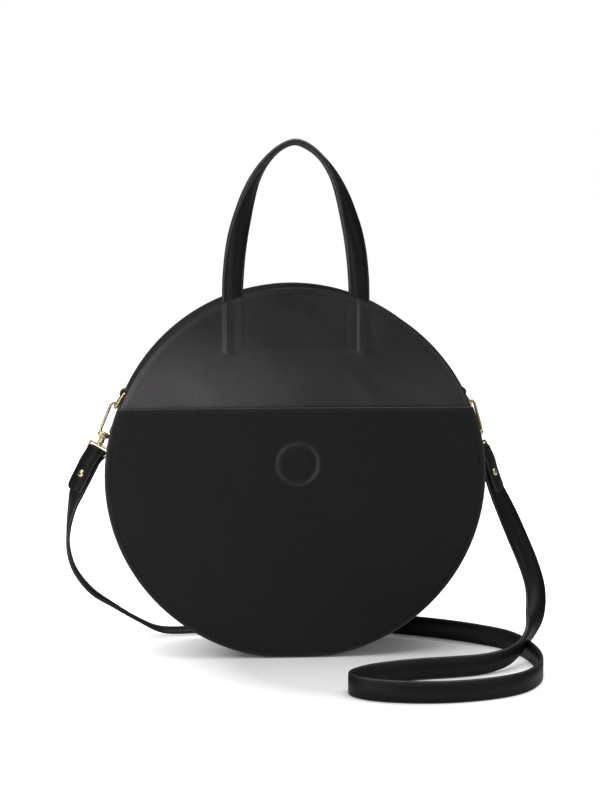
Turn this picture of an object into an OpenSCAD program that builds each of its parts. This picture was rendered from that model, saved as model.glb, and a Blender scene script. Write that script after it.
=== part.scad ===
// Round leather bag with a zipped mouth, a magnet pocket, a carry handle and a clip-on strap.
// X runs to the right, Y away from the viewer and Z up; the bag stands on its flattened base at the origin.

/* [Body] */
// Diameter across the round bag
bag_diameter = 280; // [240:5:320]
// Depth from the pocket's face to the back panel's face
bag_depth = 68; // [56:2:90]
// How far the round is flattened where the bag stands
base_flat = 5; // [3:0.5:8]
// Thickness of the outer leather
leather = 2; // [1.6:0.1:2.4]
// Thickness of the lining
lining = 0.8; // [0.5:0.1:1.2]
// How much smaller the upper front panel is than the pocket, at the edge
panel_step = 1; // [0:0.5:2]
// How far the gusset is set in from the panels' edges
gusset_inset = 4.5; // [3:0.5:5]
// Thickness of the board that stiffens the base
board = 2.5; // [1.5:0.5:4]
// Width of the board from left to right
board_width = 64; // [40:2:80]

/* [Front pocket] */
// Height of the pocket's top edge above the base
pocket_height = 186; // [170:1:195]
// Height of the line where the pocket's mouth bends outward
pocket_fold = 104; // [90:2:115]
// Height of the magnet's centre above the base
magnet_height = 146; // [140:0.5:155]
// Diameter of each magnet
magnet_diameter = 18; // [14:1:20]
// Thickness of each magnet
magnet_thick = 1.2; // [0.8:0.1:1.4]
// Radius of the pressed ring around the magnet
emboss_radius = 15; // [12:0.5:18]
// Width of the pressed ring
emboss_width = 3.4; // [2:0.2:5]
// Depth of the pressed ring
emboss_depth = 0.5; // [0.3:0.1:0.7]

/* [Mouth and zip] */
// Height of the part of the front that bends open, below the bag's top
mouth_drop = 54; // [52:1:60]
// Width of the gap between the two leather edges along the zip
zip_gap = 12; // [10:1:16]
// Width of each zip tape
tape_width = 9; // [7:0.5:11]
// Thickness of the zip tape
tape_thick = 0.7; // [0.5:0.1:1]
// Reach of a zip tooth from the middle of the zip
tooth_reach = 3; // [2.4:0.2:3.4]
// Height of a zip tooth
tooth_height = 2.4; // [2:0.2:3]
// Length of a zip tooth along the zip
tooth_length = 1.6; // [1.2:0.1:2]
// Number of teeth on each side
teeth = 96; // [60:4:110]
// Length of the slider along the zip
slider_length = 11; // [9:0.5:13]
// Thickness of the slider's plate and its side lips
slider_wall = 1; // [0.8:0.1:1.2]
// Length of the zip pull
pull_length = 21; // [16:1:24]
// Width of the zip pull
pull_width = 6; // [4:0.5:8]
// Thickness of the zip pull
pull_thick = 1.4; // [1:0.1:2]

/* [Handle] */
// Width of the handle strap
handle_width = 15.5; // [11:0.5:17]
// Thickness of the handle strap
handle_thick = 4.4; // [3:0.2:5]
// Distance from the middle to the centre of each handle leg
handle_half_span = 46; // [40:1:52]
// Rise of the handle above the point where it leaves the bag
handle_rise = 106.5; // [80:0.5:130]
// Length of the handle's end inside the front
handle_end = 44; // [36:1:46]
// Lean of the handle's top toward the back
handle_lean = 10; // [6:1:16]

/* [Strap hardware] */
// Diameter of the ring wire
wire = 3; // [2.4:0.2:3.4]
// Clear width inside each side ring
ring_width = 14; // [12:1:18]
// Distance from the ring's bar to its bow
ring_drop = 12; // [11:0.5:15]
// Distance along the gusset from the zip's end down to the ring's bar
ring_below = 18.5; // [18:0.5:24]
// Width of the leather tab that holds each ring
tab_width = 11; // [9:0.5:13]
// Length of the clasp from the ring's bow to the middle of its eye
clasp_length = 37; // [35:1:44]
// Clear half width inside the clasp's hook
hook_inside = 2.6; // [2.6:0.1:3.2]
// Thickness of the clasp's metal
hook_wall = 2.2; // [2:0.2:2.8]

/* [Strap] */
// Width of the shoulder strap
strap_width = 15.5; // [12:0.5:16]
// Thickness of the shoulder strap
strap_thick = 2.8; // [2:0.2:3.2]
// Diameter of the rivet through each strap end
rivet_diameter = 6; // [4:0.5:8]

/* [Hidden] */

black_leather = "#2b292a";
black_cloth = "#1c1b1d";
pale_gold = "#c9ad7c";
steel = "#a8a9ad";
card = "#8b8378";

// Running gap between pieces that move past each other
gap = 0.3;
// Sewn gap between two curved layers
sewn_gap = 0.1;
// Overrun of every cut
over = 1;

radius = bag_diameter / 2;
middle = radius - base_flat;
front_face = -bag_depth / 2;
back_face = bag_depth / 2;
panel_face = front_face + leather;
panel_back = panel_face + leather;
back_inside = back_face - leather;
pocket_line = pocket_height - middle;
bend_line = pocket_fold - middle;
mouth_fold = bag_diameter - base_flat - mouth_drop;
fold_line = mouth_fold - middle;
rim_radius = radius - gusset_inset;
tape_radius = rim_radius - leather - sewn_gap;
tooth_foot = tape_radius + sewn_gap;
tooth_tip = tooth_foot + tooth_height;
fold_angle = asin(fold_line / tape_radius);
slider_angle = atan((slider_length / 2 + gap) / tooth_tip);
slot_angle = fold_angle - 3 * slider_angle;
$fn = 96;

// Raises a flat shape, drawn about the middle of the round, from one depth to the other.
module layer(front, back) {
    translate([0, back, middle]) rotate([90, 0, 0]) linear_extrude(back - front) children();
}

// The bag's outline, drawn in from its edge and flattened at a height above the base.
module outline(inset = 0, height = undef) {
    intersection() {
        circle(r = radius - inset, $fn = 180);
        translate([-radius, (is_undef(height) ? inset : height) - middle]) square([2 * radius, 2 * radius]);
    }
}

// Everything above or below a level line.
module above(level) { translate([-2 * radius, level]) square([4 * radius, 2 * radius]); }
module below(level) { translate([-2 * radius, level - 2 * radius]) square([4 * radius, 2 * radius]); }

// A wedge between two angles, for cutting rings.
module wedge(from, to, reach) {
    polygon([[0, 0], for (i = [0 : 6]) let (a = from + (to - from) * i / 6) reach * [cos(a), sin(a)]]);
}

// Part of a ring between two angles.
module arc(inner, outer, from, to) {
    intersection() {
        difference() { circle(r = outer, $fn = 180); circle(r = inner, $fn = 180); }
        wedge(from, to, 2 * outer);
    }
}

// The gusset's outline: set in from the panels' edges, but still flat on the base.
module rim() {
    difference() { outline(gusset_inset, 0); outline(gusset_inset + leather, leather); }
}

module back_panel() { color(black_leather) layer(back_inside, back_face) outline(); }

module front_panel() {
    color(black_leather) difference() {
        layer(panel_face, panel_back) intersection() { outline(panel_step); below(fold_line - gap / 2); }
        translate([0, panel_face, magnet_height]) rotate([90, 0, 0]) cylinder(d = magnet_diameter + gap, h = 2 * (magnet_thick + sewn_gap), center = true);
    }
}

module mouth_panel() {
    color(black_leather) layer(panel_face, panel_back) intersection() { outline(panel_step); above(fold_line + gap / 2); }
}

module pocket_panel() {
    color(black_leather) layer(front_face, panel_face) intersection() { outline(); below(bend_line - gap / 2); }
}

// The moving top of the pocket, with a pressed ring and a seat for its magnet.
module pocket_mouth() {
    color(black_leather) difference() {
        layer(front_face, panel_face) intersection() { outline(); above(bend_line + gap / 2); below(pocket_line); }
        translate([0, front_face + emboss_depth, magnet_height]) rotate([90, 0, 0]) linear_extrude(emboss_depth + over)
            difference() { circle(r = emboss_radius + emboss_width / 2); circle(r = emboss_radius - emboss_width / 2); }
        translate([0, panel_face, magnet_height]) rotate([90, 0, 0]) cylinder(d = magnet_diameter + gap, h = 2 * (magnet_thick + sewn_gap), center = true);
    }
}

// The lower gusset wraps the base up to the mouth's fold and has a slot for each end of the zip.
module base_gusset() {
    color(black_leather) difference() {
        layer(panel_back, back_inside) intersection() { rim(); below(fold_line - gap / 2); }
        for (side = [0, 1]) mirror([side, 0, 0]) layer(-zip_gap / 2, zip_gap / 2) wedge(slot_angle, fold_angle + over, 2 * radius);
    }
}

module gusset_back() {
    color(black_leather) layer(zip_gap / 2, back_inside) intersection() { rim(); above(fold_line + gap / 2); }
}

// The front gusset strip, notched where the handle comes through.
module gusset_front() {
    color(black_leather) difference() {
        layer(panel_back, -zip_gap / 2) intersection() { rim(); above(fold_line + gap / 2); }
        for (side = [-1, 1]) translate([side * handle_half_span - handle_width / 2 - gap, panel_back - over, middle])
            cube([handle_width + 2 * gap, handle_thick + gap + over, 2 * radius]);
    }
}

module tape(front, back) {
    color(black_cloth) layer(front, back) intersection() {
        difference() { circle(r = tape_radius, $fn = 180); circle(r = tape_radius - tape_thick, $fn = 180); }
        above(fold_line + gap / 2);
    }
}
module tape_back() { tape(gap / 2, tape_width); }
module tape_front() { tape(-tape_width, -gap / 2); }

// One side's teeth, spread evenly over the mouth.
module tooth_row(front, back) {
    first = fold_angle + slider_angle / 2;
    color(pale_gold) for (i = [0 : teeth - 1])
        translate([0, 0, middle]) rotate([0, -(first + (180 - 2 * first) * i / (teeth - 1)), 0])
            translate([tooth_foot, front, -tooth_length / 2]) cube([tooth_height, back - front, tooth_length]);
}
module teeth_back() { tooth_row(gap / 2, tooth_reach); }
module teeth_front() { tooth_row(-tooth_reach, -gap / 2); }

// The zip's two ends, which stay closed in the gusset's slots.
module zip_ends() {
    color(black_cloth) for (side = [0, 1]) mirror([side, 0, 0]) layer(-tape_width, tape_width)
        intersection() {
            arc(tape_radius - tape_thick, tape_radius, slot_angle - slider_angle, fold_angle);
            below(fold_line - gap / 2);
        }
}

module zip_stops() {
    color(pale_gold) for (side = [0, 1]) mirror([side, 0, 0]) layer(-tooth_reach, tooth_reach)
        arc(tooth_foot, tooth_tip, slot_angle + gap, slot_angle + slider_angle / 3);
}

// Places a child on the zip where the slider rests.
slider_rest = fold_angle - 1.3 * slider_angle;
slider_base = tooth_tip + gap;
module on_slider() { translate([0, 0, middle]) rotate([0, -slider_rest, 0]) translate([slider_base, 0, 0]) children(); }

bail_reach = 3 * slider_wall;
module slider() {
    half = tooth_reach + gap + slider_wall;
    lip = tooth_height - gap;
    color(pale_gold) on_slider() {
        translate([0, -half, -slider_length / 2]) cube([slider_wall, 2 * half, slider_length]);
        for (side = [0, 1]) mirror([0, side, 0]) translate([-lip, half - slider_wall, -slider_length / 2]) cube([lip + slider_wall, slider_wall, slider_length]);
        for (side = [0, 1]) mirror([0, side, 0]) translate([0, slider_wall, -bail_reach / 2]) cube([bail_reach + slider_wall, slider_wall, bail_reach]);
        translate([bail_reach, 0, 0]) rotate([90, 0, 0]) cylinder(d = slider_wall, h = 2 * slider_wall + sewn_gap, center = true, $fn = 24);
    }
}

// The pull hangs from the slider's pin along the gusset.
module pull() {
    eye = slider_wall / 2 + sewn_gap;
    color(pale_gold) on_slider() translate([bail_reach, 0, 0]) difference() {
        union() {
            rotate([90, 0, 0]) cylinder(r = eye + slider_wall, h = 2 * (slider_wall - sewn_gap), center = true, $fn = 32);
            translate([-pull_thick / 2, sewn_gap - slider_wall, -pull_length / 3]) cube([pull_thick, 2 * (slider_wall - sewn_gap), pull_length / 3 - eye]);
            translate([-pull_thick / 2, -pull_width / 2, -pull_length]) cube([pull_thick, pull_width, pull_length - bail_reach * 2]);
        }
        rotate([90, 0, 0]) cylinder(r = eye, h = pull_width, center = true, $fn = 32);
    }
}

lining_face = panel_back + handle_thick + lining;
lining_inset = gusset_inset + leather + tape_thick + gap;
module lining_back() { color(black_cloth) layer(back_inside - lining, back_inside) outline(lining_inset); }
module lining_front() { color(black_cloth) layer(panel_back, panel_back + lining) intersection() { outline(lining_inset); below(fold_line - handle_thick); } }
module lining_mouth() {
    color(black_cloth) layer(lining_face, lining_face + lining) intersection() { outline(lining_inset); above(fold_line + gap); }
}

// The board rests on the curve of the base inside.
board_height = middle - sqrt(pow(rim_radius - leather, 2) - pow(board_width / 2, 2)) + sewn_gap;
module base_board() {
    color(card) translate([-board_width / 2, panel_back + lining + gap, board_height]) cube([board_width, back_inside - panel_back - 2 * (lining + gap), board]);
}

// Handle: a flat strap that faces forward at its legs and turns edge-on over the top.
leg_foot = sqrt(pow(radius, 2) - pow(handle_half_span - handle_width / 2, 2)) + middle + gap;
handle_pivot = leg_foot + handle_thick / 2 + gap;
handle_depth = panel_back + handle_thick / 2;
// Half of the arch from its foot to its top, as shares of the half span and of the rise
arch_shares = [[1, 0], [0.985, 0.12], [0.955, 0.25], [0.905, 0.38], [0.83, 0.51], [0.74, 0.64], [0.625, 0.76], [0.46, 0.87], [0.24, 0.96], [0, 1]];
// Turn of the strap's face along the same half, as shares of a quarter turn
turn_shares = [0, 0.02, 0.1, 0.24, 0.42, 0.6, 0.78, 0.92, 0.99, 1];
// Thickness of the rounded foot of each leg, as a share of the strap's thickness
foot_share = 0.3;

// Eight corners of a flat strap's section about a point, along its width and its thickness.
corner_share = 0.3;
function section(at, across, through, w, t) = [for (c = [[1, -1], [1, 1], [-1, 1], [-1, -1]], first = [true, false])
    let (swap = c[0] * c[1] > 0, cut = corner_share * t / 2,
        dw = (first == swap) ? 0 : cut, dt = (first == swap) ? cut : 0)
    at + across * c[0] * (w / 2 - dw) + through * c[1] * (t / 2 - dt)];
module ribbon(rings) {
    n = len(rings);
    polyhedron(points = [for (r = rings) each r], faces = concat(
        [[for (j = [0 : 7]) j]], [[for (j = [7 : -1 : 0]) (n - 1) * 8 + j]],
        [for (i = [0 : n - 2], j = [0 : 7], s = [0, 1]) let (k = (j + 1) % 8)
            s == 0 ? [i * 8 + k, i * 8 + j, (i + 1) * 8 + j] : [i * 8 + k, (i + 1) * 8 + j, (i + 1) * 8 + k]]));
}
function unit(v) = v / norm(v);
// A point on the smooth curve through a list of points.
function curve(p, i, s) = let (a = p[max(i - 1, 0)], b = p[i], c = p[i + 1], d = p[min(i + 2, len(p) - 1)])
    ((2 * b) + (c - a) * s + (2 * a - 5 * b + 4 * c - d) * pow(s, 2) + (3 * b - a - 3 * c + d) * pow(s, 3)) / 2;
function trace(p, steps) = [for (i = [0 : len(p) - 2], k = [0 : steps - 1]) curve(p, i, k / steps), p[len(p) - 1]];
function heading(p, i) = unit(p[min(i + 1, len(p) - 1)] - p[max(i - 1, 0)]);

half_arch = [for (i = [0 : len(arch_shares) - 1]) [-arch_shares[i][0] * handle_half_span, arch_shares[i][1] * handle_rise, turn_shares[i] * 90]];
whole_arch = concat(half_arch, [for (i = [len(half_arch) - 2 : -1 : 0]) [-half_arch[i][0], half_arch[i][1], 180 - half_arch[i][2]]]);
arch = trace(whole_arch, 3);
handle_rings = [for (i = [0 : len(arch) - 1])
    let (p = arch[i], at = [p[0], handle_depth + handle_lean * pow(p[1] / handle_rise, 2), handle_pivot + p[1]],
        ahead = heading([for (q = arch) [q[0], 0, q[1]]], i), side = cross([0, 1, 0], ahead), level = [0, 1, 0],
        across = side * cos(p[2]) + level * sin(p[2]), through = cross(ahead, across))
    section(at, across, through, handle_width, handle_thick)];
function foot(side) = section([side * handle_half_span, handle_depth, handle_pivot - handle_thick / 2], [1, 0, 0], [0, -side, 0], handle_width, handle_thick * foot_share);
module handle() { color(black_leather) ribbon(concat([foot(-1)], handle_rings, [foot(1)])); }

module handle_ends() {
    top = handle_pivot - handle_thick / 2 - gap;
    color(black_leather) for (side = [-1, 1]) translate([side * handle_half_span - handle_width / 2, panel_back, top - handle_end])
        cube([handle_width, handle_thick, handle_end]);
}

module handle_patch() {
    span = 2 * handle_half_span + handle_width;
    color(black_cloth) translate([-span / 2, panel_back + handle_thick, mouth_fold + gap]) cube([span, lining, leg_foot - mouth_fold - handle_thick * 4]);
}

module magnet_body() { color(steel) translate([0, panel_face + magnet_thick, magnet_height]) rotate([90, 0, 0]) cylinder(d = magnet_diameter, h = magnet_thick); }
module magnet_pocket() { color(steel) translate([0, panel_face, magnet_height]) rotate([90, 0, 0]) cylinder(d = magnet_diameter, h = magnet_thick); }

// Side hardware, drawn on the right and mirrored to the left.
bar_radius = rim_radius + sewn_gap + leather + wire / 2 + sewn_gap;
bar_angle = slot_angle - atan(ring_below / bar_radius);
bar_x = bar_radius * cos(bar_angle);
ring_height = middle + bar_radius * sin(bar_angle);
ring_lean = 35;
bow = [bar_x + ring_drop * sin(ring_lean), ring_height - ring_drop * cos(ring_lean)];

module ring_tab() {
    color(black_leather) difference() {
        union() {
            layer(-tab_width / 2, tab_width / 2) arc(rim_radius + sewn_gap, rim_radius + sewn_gap + leather, bar_angle, slot_angle);
            translate([bar_x, 0, ring_height]) rotate([90, 0, 0]) cylinder(r = wire / 2 + sewn_gap + leather, h = tab_width, center = true);
        }
        translate([bar_x, 0, ring_height]) rotate([90, 0, 0]) cylinder(r = wire / 2 + sewn_gap, h = tab_width + over, center = true);
    }
}
module tab_right() { ring_tab(); }
module tab_left() { mirror([1, 0, 0]) ring_tab(); }

// A ring with a straight bar, two short sides and a round bow.
module side_ring() {
    bend = ring_drop / 2;
    half = ring_width / 2 + wire / 2;
    color(pale_gold) translate([bar_x, 0, ring_height]) rotate([0, 180 - ring_lean, 0]) {
        rotate([90, 0, 0]) cylinder(d = wire, h = 2 * half, center = true, $fn = 32);
        for (side = [-1, 1]) {
            translate([0, side * half, 0]) sphere(d = wire, $fn = 32);
            translate([0, side * half, 0]) cylinder(d = wire, h = ring_drop - bend, $fn = 32);
            translate([0, side * (half - bend), ring_drop - bend]) rotate([0, -90, 0]) rotate([0, 0, side > 0 ? 0 : -90]) rotate_extrude(angle = 90, $fn = 64) translate([bend, 0]) circle(d = wire, $fn = 32);
        }
        translate([0, 0, ring_drop]) rotate([90, 0, 0]) cylinder(d = wire, h = 2 * (half - bend), center = true, $fn = 32);
    }
}
module ring_right() { side_ring(); }
module ring_left() { mirror([1, 0, 0]) side_ring(); }

// Clasp: drawn with the ring's bow at the origin and its eye below, then leaned outward.
lean_left = 23;
lean_right = 16;
turn_left = 35;
turn_right = 55;
hook_outside = hook_inside + hook_wall;
hook_depth = hook_wall + gap;
hook_centre = wire / 2 + gap - hook_inside;
nose_low = hook_centre - hook_wall;
gate_low = -clasp_length * 0.52;
body_low = -clasp_length * 0.68;
stem_low = -clasp_length * 0.8;
module on_clasp(lean) { translate([bow[0], 0, bow[1]]) rotate([0, -lean, 0]) children(); }
module plate(depth) { rotate([90, 0, 0]) linear_extrude(depth, center = true) children(); }

module clasp(lean) {
    color(pale_gold) on_clasp(lean) {
        plate(hook_depth) {
            intersection() {
                translate([0, hook_centre]) difference() { circle(r = hook_outside, $fn = 64); circle(r = hook_inside, $fn = 64); }
                translate([-hook_outside, hook_centre]) square([2 * hook_outside, hook_outside]);
            }
            translate([-hook_outside, nose_low]) square([hook_wall, hook_centre - nose_low]);
            translate([hook_inside, body_low]) square([hook_wall, hook_centre - body_low]);
            translate([-hook_outside, body_low]) square([2 * hook_outside, gate_low - hook_wall - body_low]);
        }
        translate([0, 0, stem_low]) cylinder(r = hook_wall - gap, h = body_low - stem_low, $fn = 48);
    }
}

// The sprung gate closes the hook between its nose and its body.
module gate(lean) {
    color(pale_gold) on_clasp(lean) plate(hook_depth - gap) {
        translate([-hook_outside + gap / 2, gate_low]) square([hook_wall - gap, nose_low - gap - gate_low]);
        translate([-(hook_inside + hook_wall / 2), gate_low]) circle(d = hook_wall - gap, $fn = 32);
    }
}

// The swivel eye hangs from the stem and carries the strap.
eye_half = strap_width / 2 + gap;
eye_wall = hook_wall - gap;
module swivel(lean, turn) {
    wall = eye_wall;
    color(pale_gold) on_clasp(lean) rotate([0, 0, turn]) {
        translate([0, 0, stem_low - wall - gap]) cylinder(r = hook_wall, h = wall, $fn = 48);
        plate(wall) difference() {
            translate([-eye_half - wall, -clasp_length - wall / 2]) square([2 * (eye_half + wall), clasp_length + stem_low + wall / 2 - gap]);
            translate([-eye_half, -clasp_length + wall / 2]) square([2 * eye_half, clasp_length + stem_low - wall * 1.5 - gap]);
        }
    }
}

module clasp_right() { clasp(lean_right); }
module clasp_left() { mirror([1, 0, 0]) clasp(lean_left); }
module gate_right() { gate(lean_right); }
module gate_left() { mirror([1, 0, 0]) gate(lean_left); }
module swivel_right() { swivel(lean_right, turn_right); }
module swivel_left() { mirror([1, 0, 0]) swivel(lean_left, turn_left); }

// Strap route from the left eye over the floor to the right eye, with the direction of its width at each point.
strap_points = [
    [-149.95, 0, 146.1], [-156.2, -1, 134], [-162, -1, 121.5], [-166, 0, 109], [-169.2, 3, 91], [-169.3, 7, 74], [-164.6, 12, 57.5], [-153.4, 19, 41],
    [-137.5, 26.5, 28], [-119.5, 33.5, 15], [-101, 39.5, 5], [-76, 45, 3], [-46, 49.5, 3.4], [-16, 52, 5.2], [16, 51.5, 8], [44, 46.5, 8],
    [72, 36.5, 8], [98, 24.5, 8], [122, 11, 8], [142, -4, 8], [158.5, -21, 8], [167.5, -42, 8], [171.3, -66, 8], [171.2, -90, 8],
    [166, -113, 8], [152, -135, 8], [130, -149, 8], [101, -156.5, 8], [72, -156.5, 8], [46, -149.5, 8], [32.5, -138, 8], [32.5, -125.5, 8],
    [45, -113, 8], [63, -104.5, 8], [84, -98.5, 8], [108, -94.5, 8], [130, -88.5, 8], [148, -79, 9.7], [160, -66, 13], [168, -54.5, 18.5],
    [174, -43, 25], [178.6, -32, 32.5], [181, -22, 41.5], [180.8, -14, 51.5], [177, -7, 65.5], [170, -2.5, 83], [162.4, 0, 101], [154.6, 0.6, 118],
    [148.9, 0.4, 132], [145.1, 0, 144.4]];
strap_turns = [
    [0.82, -0.57, 0], [0.81, -0.59, 0], [0.7, -0.72, 0], [0.35, -0.93, 0], [0.1, -1, 0], [0.05, -1, 0], [0.05, -1, 0], [0.05, -1, 0],
    [0.1, -1, 0.1], [0.2, -1, 0.1], [0.2, -1, 0], [0.1, -1, 0], [0, -1, 0.1], [0, -0.9, 0.5], [0, -0.5, 0.9], [0, 0, 1],
    [0, 0, 1], [0, 0, 1], [0, 0, 1], [0, 0, 1], [0, 0, 1], [0, 0, 1], [0, 0, 1], [0, 0, 1],
    [0, 0, 1], [0, 0, 1], [0, 0, 1], [0, 0, 1], [0, 0, 1], [0, 0, 1], [0, 0, 1], [0, 0, 1],
    [0, 0, 1], [0, 0, 1], [0, 0, 1], [0, 0, 1], [0, -0.1, 1], [0, -0.3, 1], [-0.1, -0.6, 0.8], [-0.35, -0.8, 0.45],
    [-0.6, -0.7, 0.2], [-0.9, -0.3, 0.2], [-1, 0, 0.2], [-1, 0.1, 0.2], [-1, 0.1, 0.2], [-1, 0, 0], [-0.97, -0.26, 0], [-0.83, -0.56, 0],
    [-0.67, -0.74, 0], [-0.57, -0.82, 0]];
strap_line = trace(strap_points, 2);
strap_across = trace(strap_turns, 2);
strap_frames = [for (i = [0 : len(strap_line) - 1])
    let (ahead = heading(strap_line, i), raw = strap_across[i], across = unit(raw - ahead * (raw * ahead)))
    [strap_line[i], across, cross(ahead, across)]];
strap_rings = [for (f = strap_frames) section(f[0], f[1], f[2], strap_width, strap_thick)];
strap_length = [for (i = [1 : len(strap_line) - 1]) norm(strap_line[i] - strap_line[i - 1])] * [for (i = [1 : len(strap_line) - 1]) 1];
echo(strap_length = strap_length, slider_rest = slider_rest, middle = middle, bow = bow, bar = [bar_x, ring_height], pivot = handle_pivot, fold_angle = fold_angle, slot = slot_angle, gate = gate_low);
module strap() { color(black_leather) ribbon(strap_rings); }

// The folded end lies behind the strap, next to its eye.
lap_steps = 4;
function lap_rings(first, step) = [for (i = [0 : lap_steps]) let (f = strap_frames[first + step * i])
    section(f[0] + f[2] * (strap_thick + gap), f[1], f[2], strap_width, strap_thick)];
// The loop that each end makes around its eye's bar.
module lap_loop(lean, turn) {
    inner = eye_wall * sqrt(2) / 2 + sewn_gap;
    on_clasp(lean) rotate([0, 0, turn]) translate([0, 0, -clasp_length]) rotate([0, 90, 0]) difference() {
        cylinder(r = inner + strap_thick, h = strap_width, center = true);
        cylinder(r = inner, h = strap_width + over, center = true);
    }
}
module lap_left() { color(black_leather) { ribbon(lap_rings(0, 1)); mirror([1, 0, 0]) lap_loop(lean_left, turn_left); } }
module lap_right() { color(black_leather) { ribbon(lap_rings(len(strap_frames) - 1 - lap_steps, 1)); lap_loop(lean_right, turn_right); } }

module rivet(index) {
    f = strap_frames[index];
    z = f[2];
    color(pale_gold) translate(f[0]) rotate([0, acos(z[2]), atan2(z[1], z[0])]) translate([0, 0, strap_thick * 1.5 + 2 * gap]) cylinder(d = rivet_diameter, h = strap_thick / 2, $fn = 48);
}
module rivet_left() { rivet(2); }
module rivet_right() { rivet(len(strap_frames) - 3); }

back_panel();
front_panel();
mouth_panel();
pocket_panel();
pocket_mouth();
base_gusset();
gusset_back();
gusset_front();
tape_back();
tape_front();
teeth_back();
teeth_front();
zip_ends();
zip_stops();
slider();
pull();
lining_back();
lining_front();
lining_mouth();
base_board();
handle();
handle_ends();
handle_patch();
magnet_body();
magnet_pocket();
tab_left();
tab_right();
ring_left();
ring_right();
clasp_left();
clasp_right();
gate_left();
gate_right();
swivel_left();
swivel_right();
strap();
lap_left();
lap_right();
rivet_left();
rivet_right();
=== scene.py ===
"""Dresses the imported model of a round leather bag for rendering.

Every piece is built in millimetres and laid down in metres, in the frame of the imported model:
X to the right, Y to the back and Z up, with the bag standing on its flattened edge at the origin.
"""
import logging
import math
from dataclasses import dataclass
from enum import Enum
from typing import Sequence

import bmesh
import bpy
import numpy as np
from mathutils import Matrix, Vector
from mathutils.kdtree import KDTree


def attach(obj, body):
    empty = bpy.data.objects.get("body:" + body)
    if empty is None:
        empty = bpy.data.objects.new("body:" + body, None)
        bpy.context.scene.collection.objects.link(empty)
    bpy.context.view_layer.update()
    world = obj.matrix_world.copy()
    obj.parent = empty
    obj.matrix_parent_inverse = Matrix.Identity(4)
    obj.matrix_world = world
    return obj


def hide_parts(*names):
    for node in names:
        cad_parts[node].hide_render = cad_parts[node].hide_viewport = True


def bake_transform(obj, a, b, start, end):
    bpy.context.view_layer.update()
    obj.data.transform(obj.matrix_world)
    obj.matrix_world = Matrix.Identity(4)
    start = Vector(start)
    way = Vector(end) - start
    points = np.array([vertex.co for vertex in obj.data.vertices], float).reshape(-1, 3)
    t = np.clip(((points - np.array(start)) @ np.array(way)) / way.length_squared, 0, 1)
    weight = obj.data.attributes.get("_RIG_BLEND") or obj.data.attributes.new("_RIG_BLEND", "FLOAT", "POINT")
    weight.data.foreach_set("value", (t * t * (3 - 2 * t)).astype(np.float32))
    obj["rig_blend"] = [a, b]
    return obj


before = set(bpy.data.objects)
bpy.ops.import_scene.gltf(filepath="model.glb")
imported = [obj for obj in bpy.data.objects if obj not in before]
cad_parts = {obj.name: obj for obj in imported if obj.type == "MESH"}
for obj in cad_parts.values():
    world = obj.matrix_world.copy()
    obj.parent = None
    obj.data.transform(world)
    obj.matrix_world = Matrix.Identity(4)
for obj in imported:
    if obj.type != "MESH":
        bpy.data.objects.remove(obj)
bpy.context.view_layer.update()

logging.basicConfig(level=logging.INFO, format="%(message)s")
log = logging.getLogger("circle_bag")

MM = 0.001
BACKWARD = (0.0, 1.0, 0.0)
WHITE = (1, 1, 1, 1)

Grid = np.ndarray
Socket = bpy.types.NodeSocket
Finish = bpy.types.Material
Piece = bpy.types.Object
Places = Sequence[tuple[float, float]]

# Three turns of a flat plate: its face outward, on its side with its width along X, and on its edge.
FACE = Matrix(((0, 0, 1), (1, 0, 0), (0, 1, 0))).to_4x4()
STAND = Matrix(((1, 0, 0), (0, 0, 1), (0, 1, 0))).to_4x4()
QUARTER = Matrix.Rotation(math.pi / 2, 4, "X")


class Side(Enum):
    """The bag's two sides, as the sign of X."""

    LEFT = -1
    RIGHT = 1

    @property
    def word(self) -> str:
        """The side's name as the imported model's nodes and bodies use it."""
        return self.name.lower()


# ---------------------------------------------------------------- materials


def linear(colour: str) -> tuple[float, float, float, float]:
    """Turns an sRGB hex colour to linear light.

    Args:
        colour: Six hex digits after a hash sign.

    Returns:
        Red, green, blue and a full alpha.
    """
    shares = [int(colour[i:i + 2], 16) / 255 for i in (1, 3, 5)]
    return (*[c / 12.92 if c <= 0.04045 else ((c + 0.055) / 1.055) ** 2.4 for c in shares], 1.0)


def add_node(tree: bpy.types.NodeTree, kind: str, inputs: dict | None = None, out: str | int = 0,
             **settings: object) -> Socket | None:
    """Adds a node with its settings, values and links.

    Args:
        tree: The node tree that gets the node.
        kind: The node's type name.
        inputs: Values or output sockets by input name or number.
        out: The name or number of the output that is wanted.
        settings: The node's own settings.

    Returns:
        That output, or nothing for a node without outputs.
    """
    node = tree.nodes.new(kind)
    for key, value in settings.items():
        setattr(node, key, value)
    for key, value in (inputs or {}).items():
        if isinstance(value, Socket):
            tree.links.new(value, node.inputs[key])
        else:
            node.inputs[key].default_value = value
    return node.outputs[out] if node.outputs else None


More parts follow.
